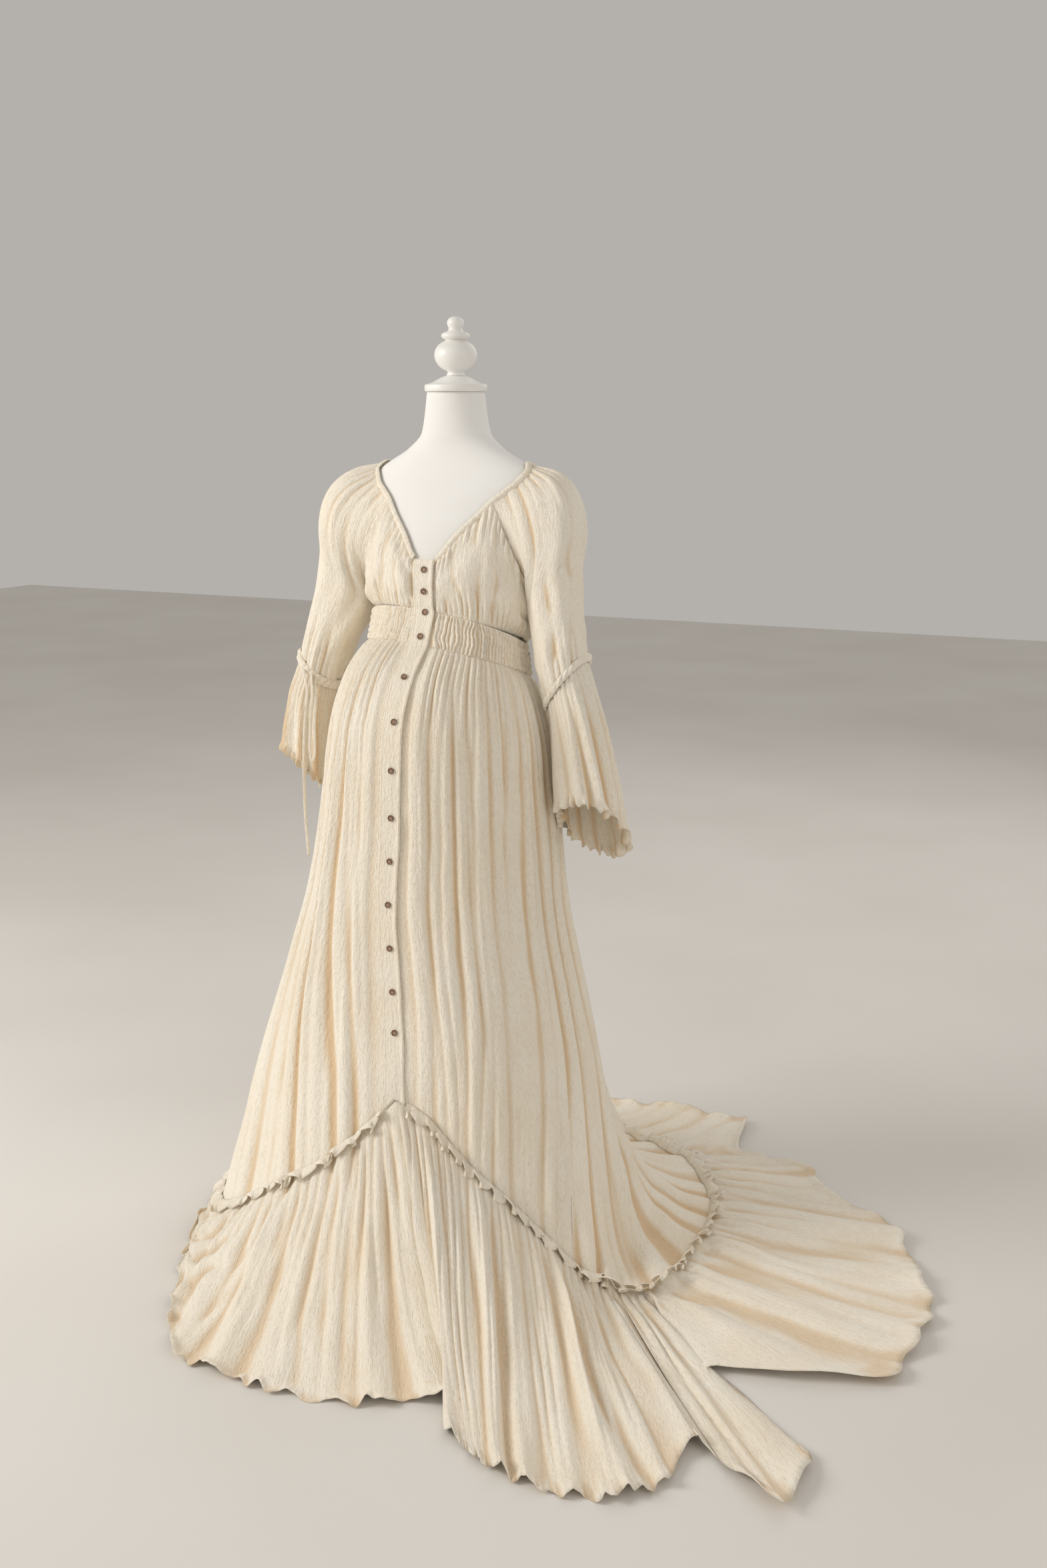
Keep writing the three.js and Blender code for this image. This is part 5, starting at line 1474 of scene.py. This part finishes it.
def bar_mesh(half, radius):
    """A short bar of thread from hole to hole, bent down at its ends."""
    sides, vertices = 8, []
    stations = [(-half, -1.4), (-half, 0.1), (-half * 0.7, 0.45), (0, 0.5), (half * 0.7, 0.45), (half, 0.1),
                (half, -1.4)]
    for k, (x, z) in enumerate(stations):
        before, after = stations[max(k - 1, 0)], stations[min(k + 1, len(stations) - 1)]
        lean = math.atan2(after[1] - before[1], after[0] - before[0])
        for i in range(sides):
            t = 2 * math.pi * i / sides
            vertices.append((x - radius * math.cos(t) * math.sin(lean), radius * math.sin(t),
                             z + radius * math.cos(t) * math.cos(lean)))
    faces = [(j * sides + i, j * sides + (i + 1) % sides, (j + 1) * sides + (i + 1) % sides,
              (j + 1) * sides + i)
             for j in range(len(stations) - 1) for i in range(sides)]
    last = (len(stations) - 1) * sides
    faces += [tuple(range(sides - 1, -1, -1)), tuple(range(last, last + sides))]
    return vertices, faces


def make_stitches():
    """Running stitches down both edges of the placket, and thread along the band's rows of elastic."""
    sizes = bpy.context.scene.dress_sizes
    tree = along_tree("running_stitches", thread())
    face = placket_grid()
    normals = grid_normals(face)
    edges = [face[k, 1:-1] + normals[k, 1:-1] * 0.1 for k in (1, face.shape[0] - 2)]
    values = {"Pitch": sizes.stitch_pitch, "Length": sizes.stitch_pitch * 0.72, "Thickness": 0.32 * MM}
    belongs(grown("placket_stitching", line_carrier(edges), tree, values))
    rows = []
    for start, end in PANELS.values():
        for v in np.linspace(0.2, 0.8, 4):
            a = np.linspace(max(start, PLACKET_ANGLE + 1), min(end, 359 - PLACKET_ANGLE), 160)
            phase = (a - PLACKET_ANGLE) / (360 - 2 * PLACKET_ANGLE) * BAND_WAVES
            rows.append(band_point(a, np.full_like(a, v), 1.0 + 1.4 * wave_shape(phase)))
    belongs(grown("shirring_thread", line_carrier(rows), tree, {**values, "Thickness": 0.28 * MM}))


def make_camera():
    """The camera stands 3.2 m from the form, level with its neck, and looks down by 12 degrees."""
    distance, height, round_by, tilt, aside = 3198, 1514, 28.0, 12.204, 2.166
    data = bpy.data.cameras.new("camera")
    data.lens, data.sensor_width = 40.0, 36.0
    camera = bpy.data.objects.new("camera", data)
    turn = math.radians(round_by)
    camera.location = Vector((distance * math.sin(turn), -distance * math.cos(turn), height)) * MM
    camera.rotation_euler = (math.radians(90 - tilt), 0, math.radians(round_by - aside))
    bpy.context.scene.collection.objects.link(camera)
    bpy.context.scene.camera = camera


def area_light(name, place, size, power, colour):
    data = bpy.data.lights.new(name, "AREA")
    data.shape, data.size, data.energy, data.color = "SQUARE", size, power, colour
    lamp = bpy.data.objects.new(name, data)
    lamp.location = place
    lamp.rotation_euler = (Vector((0.1, -0.1, 0.8)) - Vector(place)).to_track_quat("-Z", "Y").to_euler()
    bpy.context.scene.collection.objects.link(lamp)


def make_stage():
    paper = material_named("pale_studio_paper", studio_paper)
    far, wide = 9.0, 9.0
    floor = mixed_object("floor", [(-far / MM, -wide / MM, 0), (far / MM, -wide / MM, 0),
                                   (far / MM, wide / MM, 0), (-far / MM, wide / MM, 0)],
                         [(0, 1, 2, 3)], paper)
    area_light("key_window", (-2.9, -2.3, 2.5), 2.0, 104, (1.0, 0.97, 0.93))
    area_light("fill_window", (3.4, -1.6, 2.2), 3.0, 26, (1.0, 0.97, 0.94))
    area_light("back_window", (0.6, 3.4, 3.0), 3.0, 26, (1.0, 0.98, 0.96))
    world = bpy.data.worlds.new("studio")
    world.use_nodes = True
    world.node_tree.nodes["Background"].inputs["Color"].default_value = linear("#F1ECE6")
    world.node_tree.nodes["Background"].inputs["Strength"].default_value = 0.52
    bpy.context.scene.world = world
    bpy.context.scene.view_settings.view_transform = "Standard"
    bpy.context.scene.view_settings.look = "None"


# The add-on

class DressSizes(bpy.types.PropertyGroup):
    """Sizes that change how the cloth looks."""
    cloth_thickness: FloatProperty(name="Cloth thickness", description="Thickness of the double gauze",
                                   default=0.0011, min=0.0005, max=0.002, unit="LENGTH", precision=4)
    crinkle_depth: FloatProperty(name="Crinkle depth", description="Relief of the crinkles in the gauze",
                                 default=0.0030, min=0.0, max=0.004, unit="LENGTH", precision=4)
    stitch_pitch: FloatProperty(name="Stitch pitch", description="Length from one stitch to the next",
                                default=0.0036, min=0.002, max=0.006, unit="LENGTH", precision=4)


class DressLooks(bpy.types.PropertyGroup):
    """Colours of the dress."""
    gauze: FloatVectorProperty(name="Gauze", description="Colour of the gauze's crests",
                               subtype="COLOR_GAMMA", size=3, default=(0.965, 0.937, 0.882),
                               min=0, max=1)
    # The colour of the painted shade deep in the folds
    gauze_painted_shade: FloatVectorProperty(name="Gauze hollows", description="Warmer colour deep in the folds",
                                      subtype="COLOR_GAMMA", size=3, default=(0.88, 0.775, 0.635),
                                      min=0, max=1)
    button: FloatVectorProperty(name="Buttons", description="Colour of the coconut shell",
                                subtype="COLOR_GAMMA", size=3, default=(0.62, 0.49, 0.38),
                                min=0, max=1)


def piece_operator(idname, label, doc, make):
    """An operator class that makes one group of pieces."""
    def execute(self, context):
        make()
        return {"FINISHED"}
    return type("DRESS_OT_" + idname, (bpy.types.Operator,), {
        "__doc__": doc, "bl_idname": "dress." + idname, "bl_label": label, "execute": execute})


OPERATORS = [piece_operator(*row) for row in (
    ("camera", "Camera", "Makes the camera", make_camera),
    ("ties", "Elbow ties", "Makes the drawstring's loop and long end", make_ties),
    ("form", "Dress form", "Makes the torso, cap, finial, pole and foot", make_form),
    ("bodice", "Bodice", "Makes the gathered bodice panels", make_bodice),
    ("sleeves", "Sleeves", "Makes the raglan sleeves and their bell flounces", make_sleeves),
    ("casings", "Casings", "Makes the neck and elbow casings", make_casings),
    ("waist", "Smocked waist", "Makes the shirred waist band", make_band),
    ("skirt", "Skirt", "Makes the gathered upper tier", make_skirt),
    ("flounce", "Flounce and train", "Makes the gathered lower tier with its train", make_flounce),
    ("frills", "Seam frills", "Makes the curled edge along the tier seam", make_frills),
    ("placket", "Placket", "Makes the button placket", make_placket),
    ("buttons", "Buttons", "Makes the buttons and their threads", make_buttons),
    ("stitches", "Stitching", "Makes the stitches", make_stitches),
    ("stage", "Stage", "Makes the floor and the lights", make_stage),
)]


class DRESS_PT_pieces(bpy.types.Panel):
    """Lists the pieces of the dress."""
    bl_idname = "DRESS_PT_pieces"
    bl_label = "Gauze dress"
    bl_space_type = "VIEW_3D"
    bl_region_type = "UI"
    bl_category = "Dress"

    def draw(self, context):
        for group in (context.scene.dress_sizes, context.scene.dress_looks):
            for name in group.__annotations__:
                self.layout.prop(group, name)
        for operator in OPERATORS:
            self.layout.operator(operator.bl_idname)


CLASSES = (DressSizes, DressLooks, *OPERATORS, DRESS_PT_pieces)


def register():
    for made in CLASSES:
        bpy.utils.register_class(made)
    bpy.types.Scene.dress_sizes = PointerProperty(type=DressSizes)
    bpy.types.Scene.dress_looks = PointerProperty(type=DressLooks)


def unregister():
    del bpy.types.Scene.dress_looks
    del bpy.types.Scene.dress_sizes
    for made in reversed(CLASSES):
        bpy.utils.unregister_class(made)


def main():
    register()
    for operator in OPERATORS:
        getattr(bpy.ops.dress, operator.bl_idname.split(".")[1])()
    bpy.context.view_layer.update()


if __name__ == "__main__":
    main()
